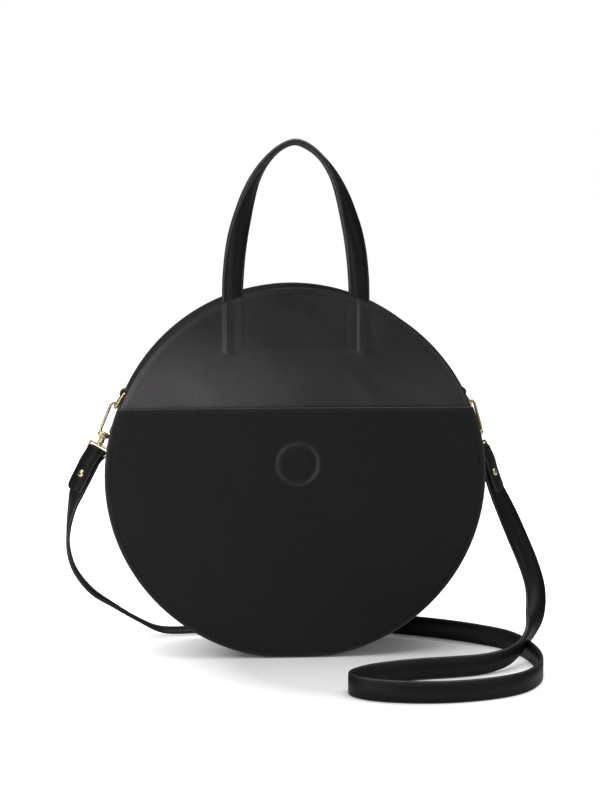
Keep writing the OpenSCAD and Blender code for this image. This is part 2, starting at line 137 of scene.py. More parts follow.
class Surface:
    """A material in the making, with the nodes that the finishes share."""

    def __init__(self, name: str, cloth: bool = False) -> None:
        """Starts a material in the object's own metres, or in the millimetres of a piece of cloth.

        Args:
            name: The material's name.
            cloth: Whether it follows the piece's own UV map.
        """
        self.material = bpy.data.materials.new(name)
        self.material.use_nodes = True
        self.tree = self.material.node_tree
        self.tree.nodes.clear()
        self.place = (self.add("ShaderNodeUVMap", out="UV", uv_map="UVMap") if cloth
                      else self.add("ShaderNodeTexCoord", out="Object"))

    def add(self, kind: str, inputs: dict | None = None, **more: object) -> Socket | None:
        """Adds a node to the material's tree."""
        return add_node(self.tree, kind, inputs, **more)

    def noise(self, scale: float, detail: float, place: Socket | None = None, **more: float) -> Socket:
        """Adds a noise texture, in the object's own metres unless a place is given."""
        return self.add("ShaderNodeTexNoise", {"Vector": place or self.place, "Scale": scale, "Detail": detail,
                                               **more}, out="Fac")

    def maths(self, operation: str, first: object, second: object = 0.0, **more: bool) -> Socket:
        """Adds one sum."""
        return self.add("ShaderNodeMath", {0: first, 1: second}, operation=operation, **more)

    def distance(self, place: Socket, centre: Sequence[float]) -> Socket:
        """Adds the distance from a centre."""
        return self.add("ShaderNodeVectorMath", {0: place, 1: tuple(centre)}, out="Value", operation="DISTANCE")

    def ramp(self, source: Socket, low: float, high: float, start: float = 0.0, end: float = 1.0) -> Socket:
        """Maps a value from low and high to start and end, clamped."""
        return self.add("ShaderNodeMapRange", {"Value": source, "From Min": low, "From Max": high,
                                               "To Min": start, "To Max": end}, out="Result")

    def mix(self, share: Socket, first: object, second: object) -> Socket:
        """Mixes two colours, each a socket or a hex colour."""
        first, second = (linear(c) if isinstance(c, str) else c for c in (first, second))
        return self.add("ShaderNodeMix", {0: share, 6: first, 7: second}, out=2, data_type="RGBA")

    def bump(self, height: Socket, depth_mm: float, normal: Socket | None = None) -> Socket:
        """Adds a bump of a depth in millimetres, on top of another where one is given."""
        under = {"Normal": normal} if normal else {}
        return self.add("ShaderNodeBump", {"Height": height, "Distance": depth_mm * MM, **under})

    def finish(self, colour: Socket, roughness: object, normal: Socket, **more: object) -> Finish:
        """Ends the material in one principled shader.

        Args:
            colour: The base colour.
            roughness: The roughness.
            normal: The bumped normal.
            more: Other inputs, with underscores for the spaces of their names.

        Returns:
            The material.
        """
        inputs = {key.replace("_", " "): value for key, value in more.items()}
        shader = self.add("ShaderNodeBsdfPrincipled", {"Base Color": colour, "Roughness": roughness,
                                                       "Normal": normal, **inputs})
        return self.output(shader)

    def output(self, shader: Socket) -> Finish:
        """Links a shader to the material's output and gives back the material."""
        self.add("ShaderNodeOutputMaterial", {"Surface": shader})
        return self.material


@dataclass(frozen=True)
class Leather:
    """Finished cowhide: a dyed, plated grain under a thin wax, which gives a broad soft shine.

    The real grain is about 0.4 mm across; it is drawn 1.1 mm across so that it shows in the render.
    """

    name: str = "Finished cowhide"
    colour: str = "#151314"
    cloudy: str = "#1b191a"
    pores: str = "#0c0b0b"
    # The paler colour along cut edges: rubbed wear, and on the pocket also a painted highlight where its rolled rim
    # catches light.
    worn: str = "#312e2e"
    nap: str = "#8f898c"
    roughness: float = 0.4
    ior: float = 1.45
    grain_mm: float = 1.1
    grain_depth_mm: float = 0.035
    wrinkle_mm: float = 9.0
    wrinkle_depth_mm: float = 0.16
    wear_mm: float = 1.4
    sheen: float = 0.05
    # Painted sheen: a paler patch mixed into the colour where the lamps' sheen would fall on the upper panel: its
    # colour, the middle of the patch in metres, with its height doubled because the patch is twice as wide as it is
    # high, and its reach.
    bloom: str = ""
    bloom_place: tuple[float, float, float] = (-0.093, -0.034, 0.392)
    bloom_reach: float = 0.108
    # The same painted sheen, weaker, below the handle's ends: where it is full and where it ends, in metres.
    bloom_band: tuple[float, float] = (0.2, 0.238)
    # Pressing over the magnet has burnished the hide: the ring's middle and radius in metres.
    burnish: tuple[float, float, float, float] | None = None
    burnish_band: tuple[float, float] = (0.0008, 0.0028)
    burnish_ior: float = 1.5

    def build(self) -> Finish:
        """Builds the node material.

        Returns:
            The material.
        """
        s = Surface(self.name)
        grain = s.add("ShaderNodeTexVoronoi", {"Vector": s.place, "Scale": 1 / (self.grain_mm * MM), "Randomness": 0.9},
                      out="Distance", feature="DISTANCE_TO_EDGE")
        pebble = s.ramp(grain, 0.0, 0.22)
        wrinkle = s.noise(1 / (self.wrinkle_mm * MM), 4.0, Roughness=0.55, Distortion=0.6)
        cloud = s.noise(22.0, 3.0)
        rub = s.ramp(s.noise(160.0, 5.0), 0.35, 0.7, 0.25, 0.9)
        near = s.add("ShaderNodeAttribute", out="Fac", attribute_name="edge_distance")
        # Paler near the cut edges where the noise rubs: wear, and on the pocket's wider band a painted rim highlight as
        # well.
        worn = s.maths("MULTIPLY", s.ramp(near, 0.0, self.wear_mm * MM, 1.0, 0.0), rub)
        body = s.mix(s.ramp(cloud, 0.35, 0.7), self.colour, self.cloudy)
        # Painted sheen: a paler patch and a paler band are mixed into the base colour where the lamps' sheen would
        # fall.
        if self.bloom:
            low = s.add("ShaderNodeVectorMath", {0: s.place, 1: (1.0, 1.0, 2.0)}, operation="MULTIPLY")
            painted_sheen_share = s.ramp(s.distance(low, self.bloom_place), 0.01, self.bloom_reach, 0.9, 0.0)
            high = s.add("ShaderNodeSeparateXYZ", {0: s.place}, out="Z")
            share = s.maths("ADD", painted_sheen_share, s.ramp(high, *self.bloom_band, 0.24, 0.0), use_clamp=True)
            body = s.mix(share, body, self.bloom)
        shade = s.mix(s.ramp(pebble, 0.0, 1.0, 0.35, 0.0), body, self.pores)
        rough = s.maths("ADD", s.ramp(cloud, 0.3, 0.75, self.roughness - 0.05, self.roughness + 0.07),
                        s.ramp(pebble, 0.0, 1.0, 0.1, 0.0))
        ior = self.ior
        if self.burnish:
            *centre, radius = self.burnish
            off = s.maths("ABSOLUTE", s.maths("SUBTRACT", s.distance(s.place, centre), radius))
            rough = s.maths("SUBTRACT", rough, s.ramp(off, *self.burnish_band, 0.18, 0.0))
            ior = s.ramp(off, *self.burnish_band, self.burnish_ior, self.ior)
        soft = s.bump(wrinkle, self.wrinkle_depth_mm)
        return s.finish(s.mix(worn, shade, self.worn), rough, s.bump(pebble, self.grain_depth_mm, soft), IOR=ior,
                        Sheen_Weight=self.sheen, Sheen_Roughness=0.45, Sheen_Tint=linear(self.nap))


@dataclass(frozen=True)
class Speckled:
    """A plain finish whose colour, relief and shine vary with one grain."""

    name: str
    colour: str
    second: str
    scale: float
    detail: float
    band: tuple[float, float]
    depth_mm: float
    roughness: tuple[float, float]
    grit: float = 0.5
    share: float = 1.0
    ior: float = 1.5
    sheen: float = 0.0

    def build(self) -> Finish:
        """Builds the node material.

        Returns:
            The material.
        """
        s = Surface(self.name)
        grain = s.noise(self.scale, self.detail, Roughness=self.grit)
        colour = s.mix(s.ramp(grain, *self.band, 0.0, self.share), self.colour, self.second)
        return s.finish(colour, s.ramp(grain, 0.2, 0.8, *self.roughness), s.bump(grain, self.depth_mm), IOR=self.ior,
                        Sheen_Weight=self.sheen, Sheen_Roughness=0.6)


@dataclass(frozen=True)
class Woven:
    """Cloth with a visible rib: warp ends crossed by the weft.

    The coordinates are the piece's own UV map in millimetres, so that the rib follows the piece.
    """

    name: str
    colour: str
    light: str
    thread_mm: float
    roughness: float = 0.85
    sheen: float = 0.2
    diagonal: bool = False

    def build(self) -> Finish:
        """Builds the node material.

        Returns:
            The material.
        """
        s = Surface(self.name, cloth=True)
        turn = math.radians(45 if self.diagonal else 0)
        turned = s.add("ShaderNodeMapping", {"Vector": s.place, "Rotation": (0.0, 0.0, turn)})
        ribs = []
        for axis in ("X", "Y"):
            along = s.add("ShaderNodeSeparateXYZ", {"Vector": turned}, out=axis)
            wave = s.maths("SINE", s.maths("MULTIPLY", along, math.pi / self.thread_mm))
            ribs.append(s.maths("MULTIPLY", wave, wave))
        rib = s.maths("MULTIPLY" if self.diagonal else "MAXIMUM", *ribs)
        fuzz = s.ramp(s.noise(1.2, 4.0), 0.25, 0.75, 0.4, 1.0)
        colour = s.mix(s.maths("MULTIPLY", rib, fuzz), self.colour, self.light)
        return s.finish(colour, self.roughness, s.bump(rib, 0.12), Sheen_Weight=self.sheen, Sheen_Roughness=0.5)


@dataclass(frozen=True)
class Metal:
    """Cast and plated metal: bright, with a faint haze and fine handling scratches."""

    name: str
    colour: str
    dull: str
    roughness: float
    haze_mm: float = 6.0
    scratch_mm: float = 0.25

    def build(self) -> Finish:
        """Builds the node material.

        Returns:
            The material.
        """
        s = Surface(self.name)
        haze = s.noise(1 / (self.haze_mm * MM), 3.0)
        drawn = s.add("ShaderNodeMapping", {"Vector": s.place, "Scale": (1.0, 1.0, 9.0), "Rotation": (0.3, 0.2, 0.5)})
        scratch = s.noise(0.1 / (self.scratch_mm * MM), 4.0, drawn)
        colour = s.mix(s.ramp(haze, 0.4, 0.75, 0.0, 0.7), self.colour, self.dull)
        rough = s.maths("ADD", s.ramp(haze, 0.3, 0.7, self.roughness, self.roughness + 0.08),
                        s.ramp(scratch, 0.5, 0.7, 0.0, 0.1))
        return s.finish(colour, rough, s.bump(scratch, 0.006), Metallic=1.0)


class Palette:
    """All the bag's finishes, built once."""

    def __init__(self) -> None:
        """Builds every material."""
        self.leather = Leather().build()
        # The upper panel carries a painted sheen: a paler patch at its lower left and a paler band below the handle's
        # ends.
        self.panel_leather = Leather(name="Rubbed cowhide", bloom="#454245").build()
        # The pocket is of a duller hide, which shows almost no shine from the front.
        # Its wide, pale edge band is partly wear and partly a painted highlight on the rolled lower rim.
        self.pocket_leather = Leather(name="Dull cowhide", colour="#121011", cloudy="#161415", worn="#2b2929",
                                      wear_mm=4.2, roughness=0.58, ior=1.3, sheen=0.0, wrinkle_depth_mm=0.1,
                                      burnish=(0.0, -0.036, 0.146, 0.015)).build()
        # The straps are flat and evenly dyed, with a tight grain and a low shine.
        self.strap_leather = Leather(name="Strap cowhide", colour="#111010", cloudy="#161415", wrinkle_depth_mm=0.05,
                                     roughness=0.45, ior=1.26, sheen=0.01).build()
        # Edge paint on cut leather: a smooth, slightly rounded satin film.
        self.paint = Speckled("Acrylic edge paint", "#1a1818", "#353131", 240.0, 3.0, (0.45, 0.8), 0.04,
                              (0.36, 0.5), share=0.8).build()
        # The flesh side of the hide: a short, dull nap, 0.7 mm across.
        self.suede = Speckled("Split suede", "#1b191a", "#2c292a", 1 / (0.7 * MM), 4.0, (0.3, 0.7), 0.12,
                              (0.92, 0.92), grit=0.7, sheen=0.3).build()
        # Zip tape: a knitted polyester rib, drawn 1 mm wide.
        self.tape = Woven("Polyester zip tape", "#131213", "#29272a", 1.0).build()
        # Lining: a cotton twill, whose 0.5 mm wale is drawn 1.2 mm wide.
        self.twill = Woven("Cotton twill", "#161516", "#302d30", 1.2, diagonal=True).build()
        # Bonded polyester thread: two plies, 0.5 mm apart, whose wax has gone dull.
        self.thread = Speckled("Bonded polyester thread", "#0f0e0e", "#1d1b1b", 1 / (0.5 * MM), 2.0, (0.35, 0.65),
                               0.06, (0.75, 0.75), ior=1.22).build()
        # Zinc alloy with a pale gold plating.
        self.gold = Metal("Pale gold plating", "#cfbf97", "#a8966b", 0.2).build()
        self.steel = Metal("Nickel-plated steel", "#a8a9ad", "#8c8d91", 0.3).build()
        # Pressed fibreboard: dull brown-grey with flecks.
        self.board = Speckled("Pressed fibreboard", "#8b8378", "#6b6358", 700.0, 5.0, (0.45, 0.65), 0.05,
                              (0.8, 0.8)).build()


# ---------------------------------------------------------------- mesh tools


def add_object(name: str, data: bpy.types.ID) -> Piece:
    """Puts new data into the scene.

    Args:
        name: The object's name.
        data: A mesh, a camera or a lamp.

    Returns:
        The object.
    """
    piece = bpy.data.objects.new(name, data)
    bpy.context.scene.collection.objects.link(piece)
    return piece


def make_object(name: str, points: Grid, faces: Sequence[Sequence[int]], finishes: Sequence[Finish],
                which: Sequence[int] | None = None, uv: Grid | None = None, edge: Grid | None = None) -> Piece:
    """Makes a smooth-shaded mesh object at the origin.

    Args:
        name: The piece's name.
        points: Vertex places in millimetres, one row each.
        faces: Vertex numbers of each face.
        finishes: The materials, in slot order.
        which: The material slot of each face.
        uv: A place on the cloth for each vertex, in millimetres.
        edge: Each vertex's distance to the nearest cut edge, in millimetres.

    Returns:
        The new object.
    """
    mesh = bpy.data.meshes.new(name)
    mesh.from_pydata((points * MM).tolist(), [], faces)
    for finish in finishes:
        mesh.materials.append(finish)
    if which is not None:
        mesh.polygons.foreach_set("material_index", np.asarray(which, np.int32))
    work = bmesh.new()
    work.from_mesh(mesh)
    bmesh.ops.recalc_face_normals(work, faces=work.faces)
    work.to_mesh(mesh)
    work.free()
    corner = np.zeros(len(mesh.loops), np.int32)
    mesh.loops.foreach_get("vertex_index", corner)
    flat = points[:, [0, 2]] if uv is None else uv
    mesh.uv_layers.new(name="UVMap").data.foreach_set("uv", flat[corner].astype(np.float32).ravel())
    far = np.full(len(points), 50.0) if edge is None else edge
    mesh.attributes.new("edge_distance", "FLOAT", "POINT").data.foreach_set("value", (far * MM).astype(np.float32))
    mesh.polygons.foreach_set("use_smooth", np.ones(len(mesh.polygons), bool))
    mesh.update()
    return add_object(name, mesh)


def unit(vectors: Grid) -> Grid:
    """Scales vectors to length one along their last axis."""
    return vectors / np.maximum(np.linalg.norm(vectors, axis=-1, keepdims=True), 1e-9)


def together(*coordinates: Grid | float) -> Grid:
    """Puts coordinates together to places, after they are stretched over the same grid."""
    return np.stack(np.broadcast_arrays(*coordinates), -1)


def wrapped(radius: float, degrees: Grid, across: Grid) -> Grid:
    """Places on a piece of cloth that is wrapped round a circle."""
    return together(across, np.radians(degrees) * radius)


def closed_sheet(name: str, outer: Grid, inner: Grid, bulge: float, finishes: Sequence[Finish], uv: Grid,
                 rounds: int = 5) -> Piece:
    """Makes a sheet with a thickness and rounded edges from its two faces.

    Args:
        name: The piece's name.
        outer: The outer face as a grid of points in millimetres, short of the edge by bulge.
        inner: The inner face on the same grid.
        bulge: How far the rounded edge stands out.
        finishes: Materials of the outer face, the inner face and the edge.
        uv: Places on the cloth for the grid's points, in millimetres.
        rounds: Number of loops round the edge.

    Returns:
        The new object.
    """
    rows, cols = outer.shape[:2]
    count = rows * cols
    number = np.arange(count).reshape(rows, cols)
    rim = np.concatenate([number[0], number[1:, -1], number[-1, -2::-1], number[-2:0:-1, 0]])
    at = np.stack(np.divmod(rim, cols), -1)
    near = np.ravel_multi_index(np.clip(at, 1, [rows - 2, cols - 2]).T, (rows, cols))
    front, back = outer.reshape(-1, 3), inner.reshape(-1, 3)
    centre, half = (front + back)[rim] / 2, (front - back)[rim] / 2
    away = centre - (front + back)[near] / 2
    ahead = unit(np.roll(centre, -1, 0) - np.roll(centre, 1, 0))
    side = unit(np.cross(ahead, unit(half)))
    side *= np.sign((side * away).sum(1, keepdims=True))
    side = unit(np.roll(side, 1, 0) + side * 2 + np.roll(side, -1, 0))
    turns = [math.pi * k / (rounds + 1) for k in range(1, rounds + 1)]
    points = np.concatenate([front, back] + [centre + half * math.cos(t) + side * bulge * math.sin(t) for t in turns])
    quads = np.stack([number[:-1, :-1], number[:-1, 1:], number[1:, 1:], number[1:, :-1]], -1).reshape(-1, 4)
    rings = [rim, *(2 * count + np.arange(rounds * len(rim))).reshape(rounds, -1), rim + count]
    faces = [quads, quads[:, ::-1] + count]
    faces += [np.stack([a, b, np.roll(b, -1), np.roll(a, -1)], -1) for a, b in zip(rings, rings[1:])]
    which = np.concatenate([np.full(len(f), min(k, 2)) for k, f in enumerate(faces)])
    tree = KDTree(len(rim))
    for k, point in enumerate(centre + side * bulge):
        tree.insert(point, k)
    tree.balance()
    edge = np.array([tree.find(p)[2] for p in points])
    edge[2 * count:] = 0
    flat = uv.reshape(-1, 2)
    cloth = np.concatenate([flat, flat] + [flat[rim]] * rounds)
    return make_object(name, points, np.concatenate(faces).tolist(), finishes, which, cloth, edge)


def spaced(*zones: tuple[float, float]) -> Grid:
    """Spreads steps from 0 to 1, with a step size for each zone.

    Args:
        zones: End and step of each zone, in order.

    Returns:
        The steps.
    """
    steps, start = [], 0.0
    for end, size in zones:
        steps.append(np.linspace(start, end, max(2, math.ceil((end - start) / size) + 1))[:-1])
        start = end
    return np.concatenate([*steps, [1.0]])


def patch(bottom: Grid, right: Grid, top: Grid, left: Grid, us: Grid, vs: Grid) -> Grid:
    """Spans a grid between four curves.

    Args:
        bottom: Points on the bottom curve, left to right.
        right: Points on the right curve, bottom to top.
        top: Points on the top curve, left to right.
        left: Points on the left curve, bottom to top.
        us: The points' shares across.
        vs: The points' shares upward.

    Returns:
        Points by row and column.
    """
    u, v = us[None, :, None], vs[:, None, None]
    corners = (1 - u) * (1 - v) * bottom[0] + u * (1 - v) * bottom[-1] + (1 - u) * v * top[0] + u * v * top[-1]
    return bottom[None] * (1 - v) + top[None] * v + left[:, None] * (1 - u) + right[:, None] * u - corners


def smooth_step(value: Grid, low: float, high: float) -> Grid:
    """Rises smoothly from 0 at low to 1 at high."""
    t = np.clip((value - low) / (high - low), 0, 1)
    return t * t * (3 - 2 * t)


def plateau(value: Grid, low: float, full: float, last: float, high: float) -> Grid:
    """Rises smoothly from 0 at low to 1 between full and last, and falls to 0 at high."""
    return smooth_step(value, low, full) * (1 - smooth_step(value, last, high))


def ridge(value: Grid, centre: float, width: float) -> Grid:
    """A smooth bump of height one about a centre, with its given half width."""
    return np.exp(-((value - centre) / width) ** 2)


def catmull(points: Sequence[Sequence[float]], steps: int) -> Grid:
    """Traces a smooth curve through points, as the model's own route is traced.

    Args:
        points: The points that it passes through.
        steps: Number of steps in each span.

    Returns:
        The curve's points.
    """
    p = np.array([points[0], *points, points[-1]], float)
    a, b, c, d = (p[k:len(p) - 3 + k, None] for k in range(4))
    s = (np.arange(steps) / steps)[:, None]
    spans = 2 * b + (c - a) * s + (2 * a - 5 * b + 4 * c - d) * s ** 2 + (3 * b - a - 3 * c + d) * s ** 3
    return np.concatenate([spans.reshape(-1, p.shape[1]) / 2, p[-1:]])


def headings(line: Grid) -> Grid:
    """The direction of travel at each point of a line."""
    return unit(np.concatenate([line[1:2] - line[:1], line[2:] - line[:-2], line[-1:] - line[-2:-1]]))


def square_to(vectors: Grid, ahead: Grid) -> Grid:
    """Turns vectors square to a direction of travel."""
    return unit(vectors - ahead * (vectors * ahead).sum(1, keepdims=True))


def strap_section(width: float, thickness: float, corner: float, turns: int) -> tuple[Grid, Grid]:
    """The outline of a flat strap: a rectangle with rounded corners and slightly domed faces.

    Args:
        width: The strap's width.
        thickness: The strap's thickness.
        corner: Corner radius as a share of half the thickness.
        turns: Steps round each corner.

    Returns:
        Places across and through, and for each place whether it lies on the cut edge.
    """
    radius = thickness / 2 * corner
    wide = width / 2 - radius
    box = rounded_box((width, thickness), radius, turns)
    dome = [(share * wide, thickness * (0.54 - 0.02 * abs(share))) for share in (1, 0, -1)]
    after, before = turns + 1, 3 * (turns + 1)
    places = np.array([*box[:after], *dome, *box[after:before], *((-x, -y) for x, y in dome), *box[before:]])
    return places, np.abs(places[:, 0]) > wide + 0.25 * radius


def sweep(name: str, line: Grid, across: Grid | Sequence[float], section: Grid, finishes: Sequence[Finish],
          edges: Grid | None = None, scale: Grid | float = 1.0, closed: bool = False) -> Piece:
    """Sweeps a section along a line and closes its ends.

    Args:
        name: The piece's name.
        line: Points of the line in millimetres.
        across: The direction of the section's first axis, one for all or one for each point.
        section: The section's places.
        finishes: Materials of the faces and the edges.
        edges: For each of the section's places whether it lies on the cut edge.
        scale: A size, or one for each point and each axis of the section.
        closed: Whether the line is a loop.

    Returns:
        The new object.
    """
    n, m = len(line), len(section)
    ahead = unit(np.roll(line, -1, 0) - np.roll(line, 1, 0)) if closed else headings(line)
    flat = square_to(np.broadcast_to(np.asarray(across, float), line.shape), ahead)
    sized = section * np.broadcast_to(scale, (n, 2))[:, None]
    points = line[:, None] + sized[..., :1] * flat[:, None] + sized[..., 1:] * np.cross(ahead, flat)[:, None]
    number = np.arange(n * m).reshape(n, m)
    here, after = (number, np.roll(number, -1, 0)) if closed else (number[:-1], number[1:])
    faces = np.stack([here, np.roll(here, -1, 1), np.roll(after, -1, 1), after], -1).reshape(-1, 4).tolist()
    cut = np.zeros(m, int) if edges is None else (edges & np.roll(edges, -1)).astype(int)
    which = np.tile(cut, len(here)).tolist()
    if not closed:
        faces += number[[0, -1]].tolist()
        which += [int(edges is not None)] * 2
    wide = np.abs(section[:, 0])
    run = np.concatenate([[0], np.cumsum(np.linalg.norm(np.diff(line, axis=0), axis=1))])
    cloth = np.stack([np.tile(section[:, 0], n), np.repeat(run, m)], 1)
    return make_object(name, points.reshape(-1, 3), faces, finishes, which, cloth, np.tile(wide.max() - wide, n))


def circle(radius: float, sides: int) -> Grid:
    """Places round a circle."""
    turn = np.arange(sides) * 2 * math.pi / sides
    return np.stack([np.cos(turn), np.sin(turn)], 1) * radius


def rounded_box(size: tuple[float, float], corner: float, steps: int, height: float = 0.0) -> Places:
    """The outline of a rectangle with round corners.

    Args:
        size: Width and height.
        corner: Corner radius.
        steps: Steps round each corner.
        height: Height of the rectangle's centre.

    Returns:
        Places, anticlockwise.
    """
    wide, high = size[0] / 2 - corner, size[1] / 2 - corner
    places = []
    for quarter, (sx, sy) in enumerate([(1, 1), (-1, 1), (-1, -1), (1, -1)]):
        for k in range(steps + 1):
            a = math.radians(90 * (quarter + k / steps))
            places.append((sx * wide + corner * math.cos(a), height + sy * high + corner * math.sin(a)))
    return places


def upright(places: Places) -> Grid:
    """Stands flat places up in the plane of X and Z."""
    return np.array([(x, 0.0, z) for x, z in places])


def plate(outline: Places, depth: float, place: Matrix, holes: Sequence[Places] = ()) -> bmesh.types.BMesh:
    """Raises a flat outline with holes to a plate.

    Args:
        outline: The outline's places.
        depth: The plate's thickness, half of it on each side of the plane XY.
        place: Moves the plate to its place.
        holes: Outlines of the holes.

    Returns:
        The plate as a work mesh.
    """
    work = bmesh.new()
    rims = []
    for loop in [outline, *holes]:
        verts = [work.verts.new((x, y, -depth / 2)) for x, y in loop]
        rims += [work.edges.new(pair) for pair in zip(verts, verts[1:] + verts[:1])]
    bmesh.ops.triangle_fill(work, use_beauty=True, edges=rims, use_dissolve=True)
    grown = bmesh.ops.extrude_face_region(work, geom=list(work.faces))["geom"]
    bmesh.ops.translate(work, verts=[g for g in grown if isinstance(g, bmesh.types.BMVert)], vec=(0, 0, depth))
    bmesh.ops.recalc_face_normals(work, faces=work.faces)
    bmesh.ops.transform(work, matrix=place, verts=work.verts)
    return work


def bevelled(name: str, work: bmesh.types.BMesh, finishes: Sequence[Finish], width: float = 0.0,
             segments: int = 3) -> Piece:
    """Turns a work mesh in millimetres into a bevelled, smooth piece.

    Args:
        name: The piece's name.
        work: The mesh, which is freed.
        finishes: The piece's materials.
        width: Bevel width on sharp edges.
        segments: Bevel segments.

    Returns:
        The new object.
    """
    bmesh.ops.remove_doubles(work, verts=work.verts, dist=1e-4)
    bmesh.ops.recalc_face_normals(work, faces=work.faces)
    if width:
        sharp = [e for e in work.edges if e.is_manifold and e.calc_face_angle(0) > math.radians(35)]
        bmesh.ops.bevel(work, geom=sharp, offset=width, segments=segments, profile=0.5, affect="EDGES",
                        clamp_overlap=True)
    bmesh.ops.triangulate(work, faces=[f for f in work.faces if len(f.verts) > 4])
    work.verts.index_update()
    points = np.array([v.co[:] for v in work.verts])
    faces = [[v.index for v in f.verts] for f in work.faces]
    work.free()
    return make_object(name, points, faces, finishes)


def lathe(name: str, profile: Places, finish: Finish, squash: tuple[float, float] = (1.0, 1.0)) -> Piece:
    """Turns a profile about Z in 28 steps.

    Args:
        name: The piece's name.
        profile: Radius and height, from one pole to the other.
        finish: The material.
        squash: Sizes along X and Y.

    Returns:
        The new object.
    """
    sides = 28
    rings = [[(x * squash[0], y * squash[1], z) for x, y in circle(r, sides)] for r, z in profile[1:-1]]
    points = [(0, 0, profile[0][1]), *sum(rings, []), (0, 0, profile[-1][1])]
    last = len(points) - 1
    faces = []
    for k in range(sides):
        after = (k + 1) % sides
        faces.append([0, 1 + after, 1 + k])
        for a in range(1, last - sides, sides):
            faces.append([a + k, a + after, a + sides + after, a + sides + k])
        faces.append([last, last - sides + k, last - sides + after])
    return make_object(name, np.array(points), faces, [finish])


def scaled(matrix: Matrix) -> Matrix:
    """Makes a matrix fit a mesh that is already in metres.

    Args:
        matrix: A turn and a place in millimetres.

    Returns:
        The same turn, with the place in metres.
    """
    result = matrix.copy()
    result.translation = matrix.translation * MM
    return result


def joined(name: str, parts: Sequence[Piece], place: Matrix = Matrix.Identity(4)) -> Piece:
    """Joins parts of one body into one mesh and puts it in its place.

    Args:
        name: The joined piece's name.
        parts: The parts, whose own objects go.
        place: The piece's place, in millimetres.

    Returns:
        The joined piece.
    """
    piece = parts[0]
    with bpy.context.temp_override(active_object=piece, selected_editable_objects=list(parts)):
        bpy.ops.object.join()
    piece.name = piece.data.name = name
    piece.data.transform(scaled(place))
    return piece


class Bend(Enum):
    """Where a soft piece bends: its two bodies, and where the bend starts and ends in metres."""

    MOUTH = ("shell", "mouth", (0, -0.032, 0.207), (0, -0.032, 0.238))
    ZIP = ("shell", "mouth", (0, 0, 0.2215), (0, 0, 0.247))
    POCKET = ("shell", "pocket", (0, -0.034, 0.09), (0, -0.034, 0.118))
    HANDLE = ("mouth", "handle", (0, 0, 0.2665), (0, 0, 0.2785))


def declare(piece: Piece, slot: str, body: str | Bend, *nodes: str) -> Piece:
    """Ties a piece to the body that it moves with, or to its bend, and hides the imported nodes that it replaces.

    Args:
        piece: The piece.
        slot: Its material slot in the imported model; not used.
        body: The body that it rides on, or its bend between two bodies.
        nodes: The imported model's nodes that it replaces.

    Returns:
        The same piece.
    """
    if isinstance(body, Bend):
        first, second, start, end = body.value
        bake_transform(piece, first, second, start=start, end=end)
    else:
        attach(piece, body)
    if nodes:
        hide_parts(*nodes)
    return piece


# ---------------------------------------------------------------- rows of small pieces


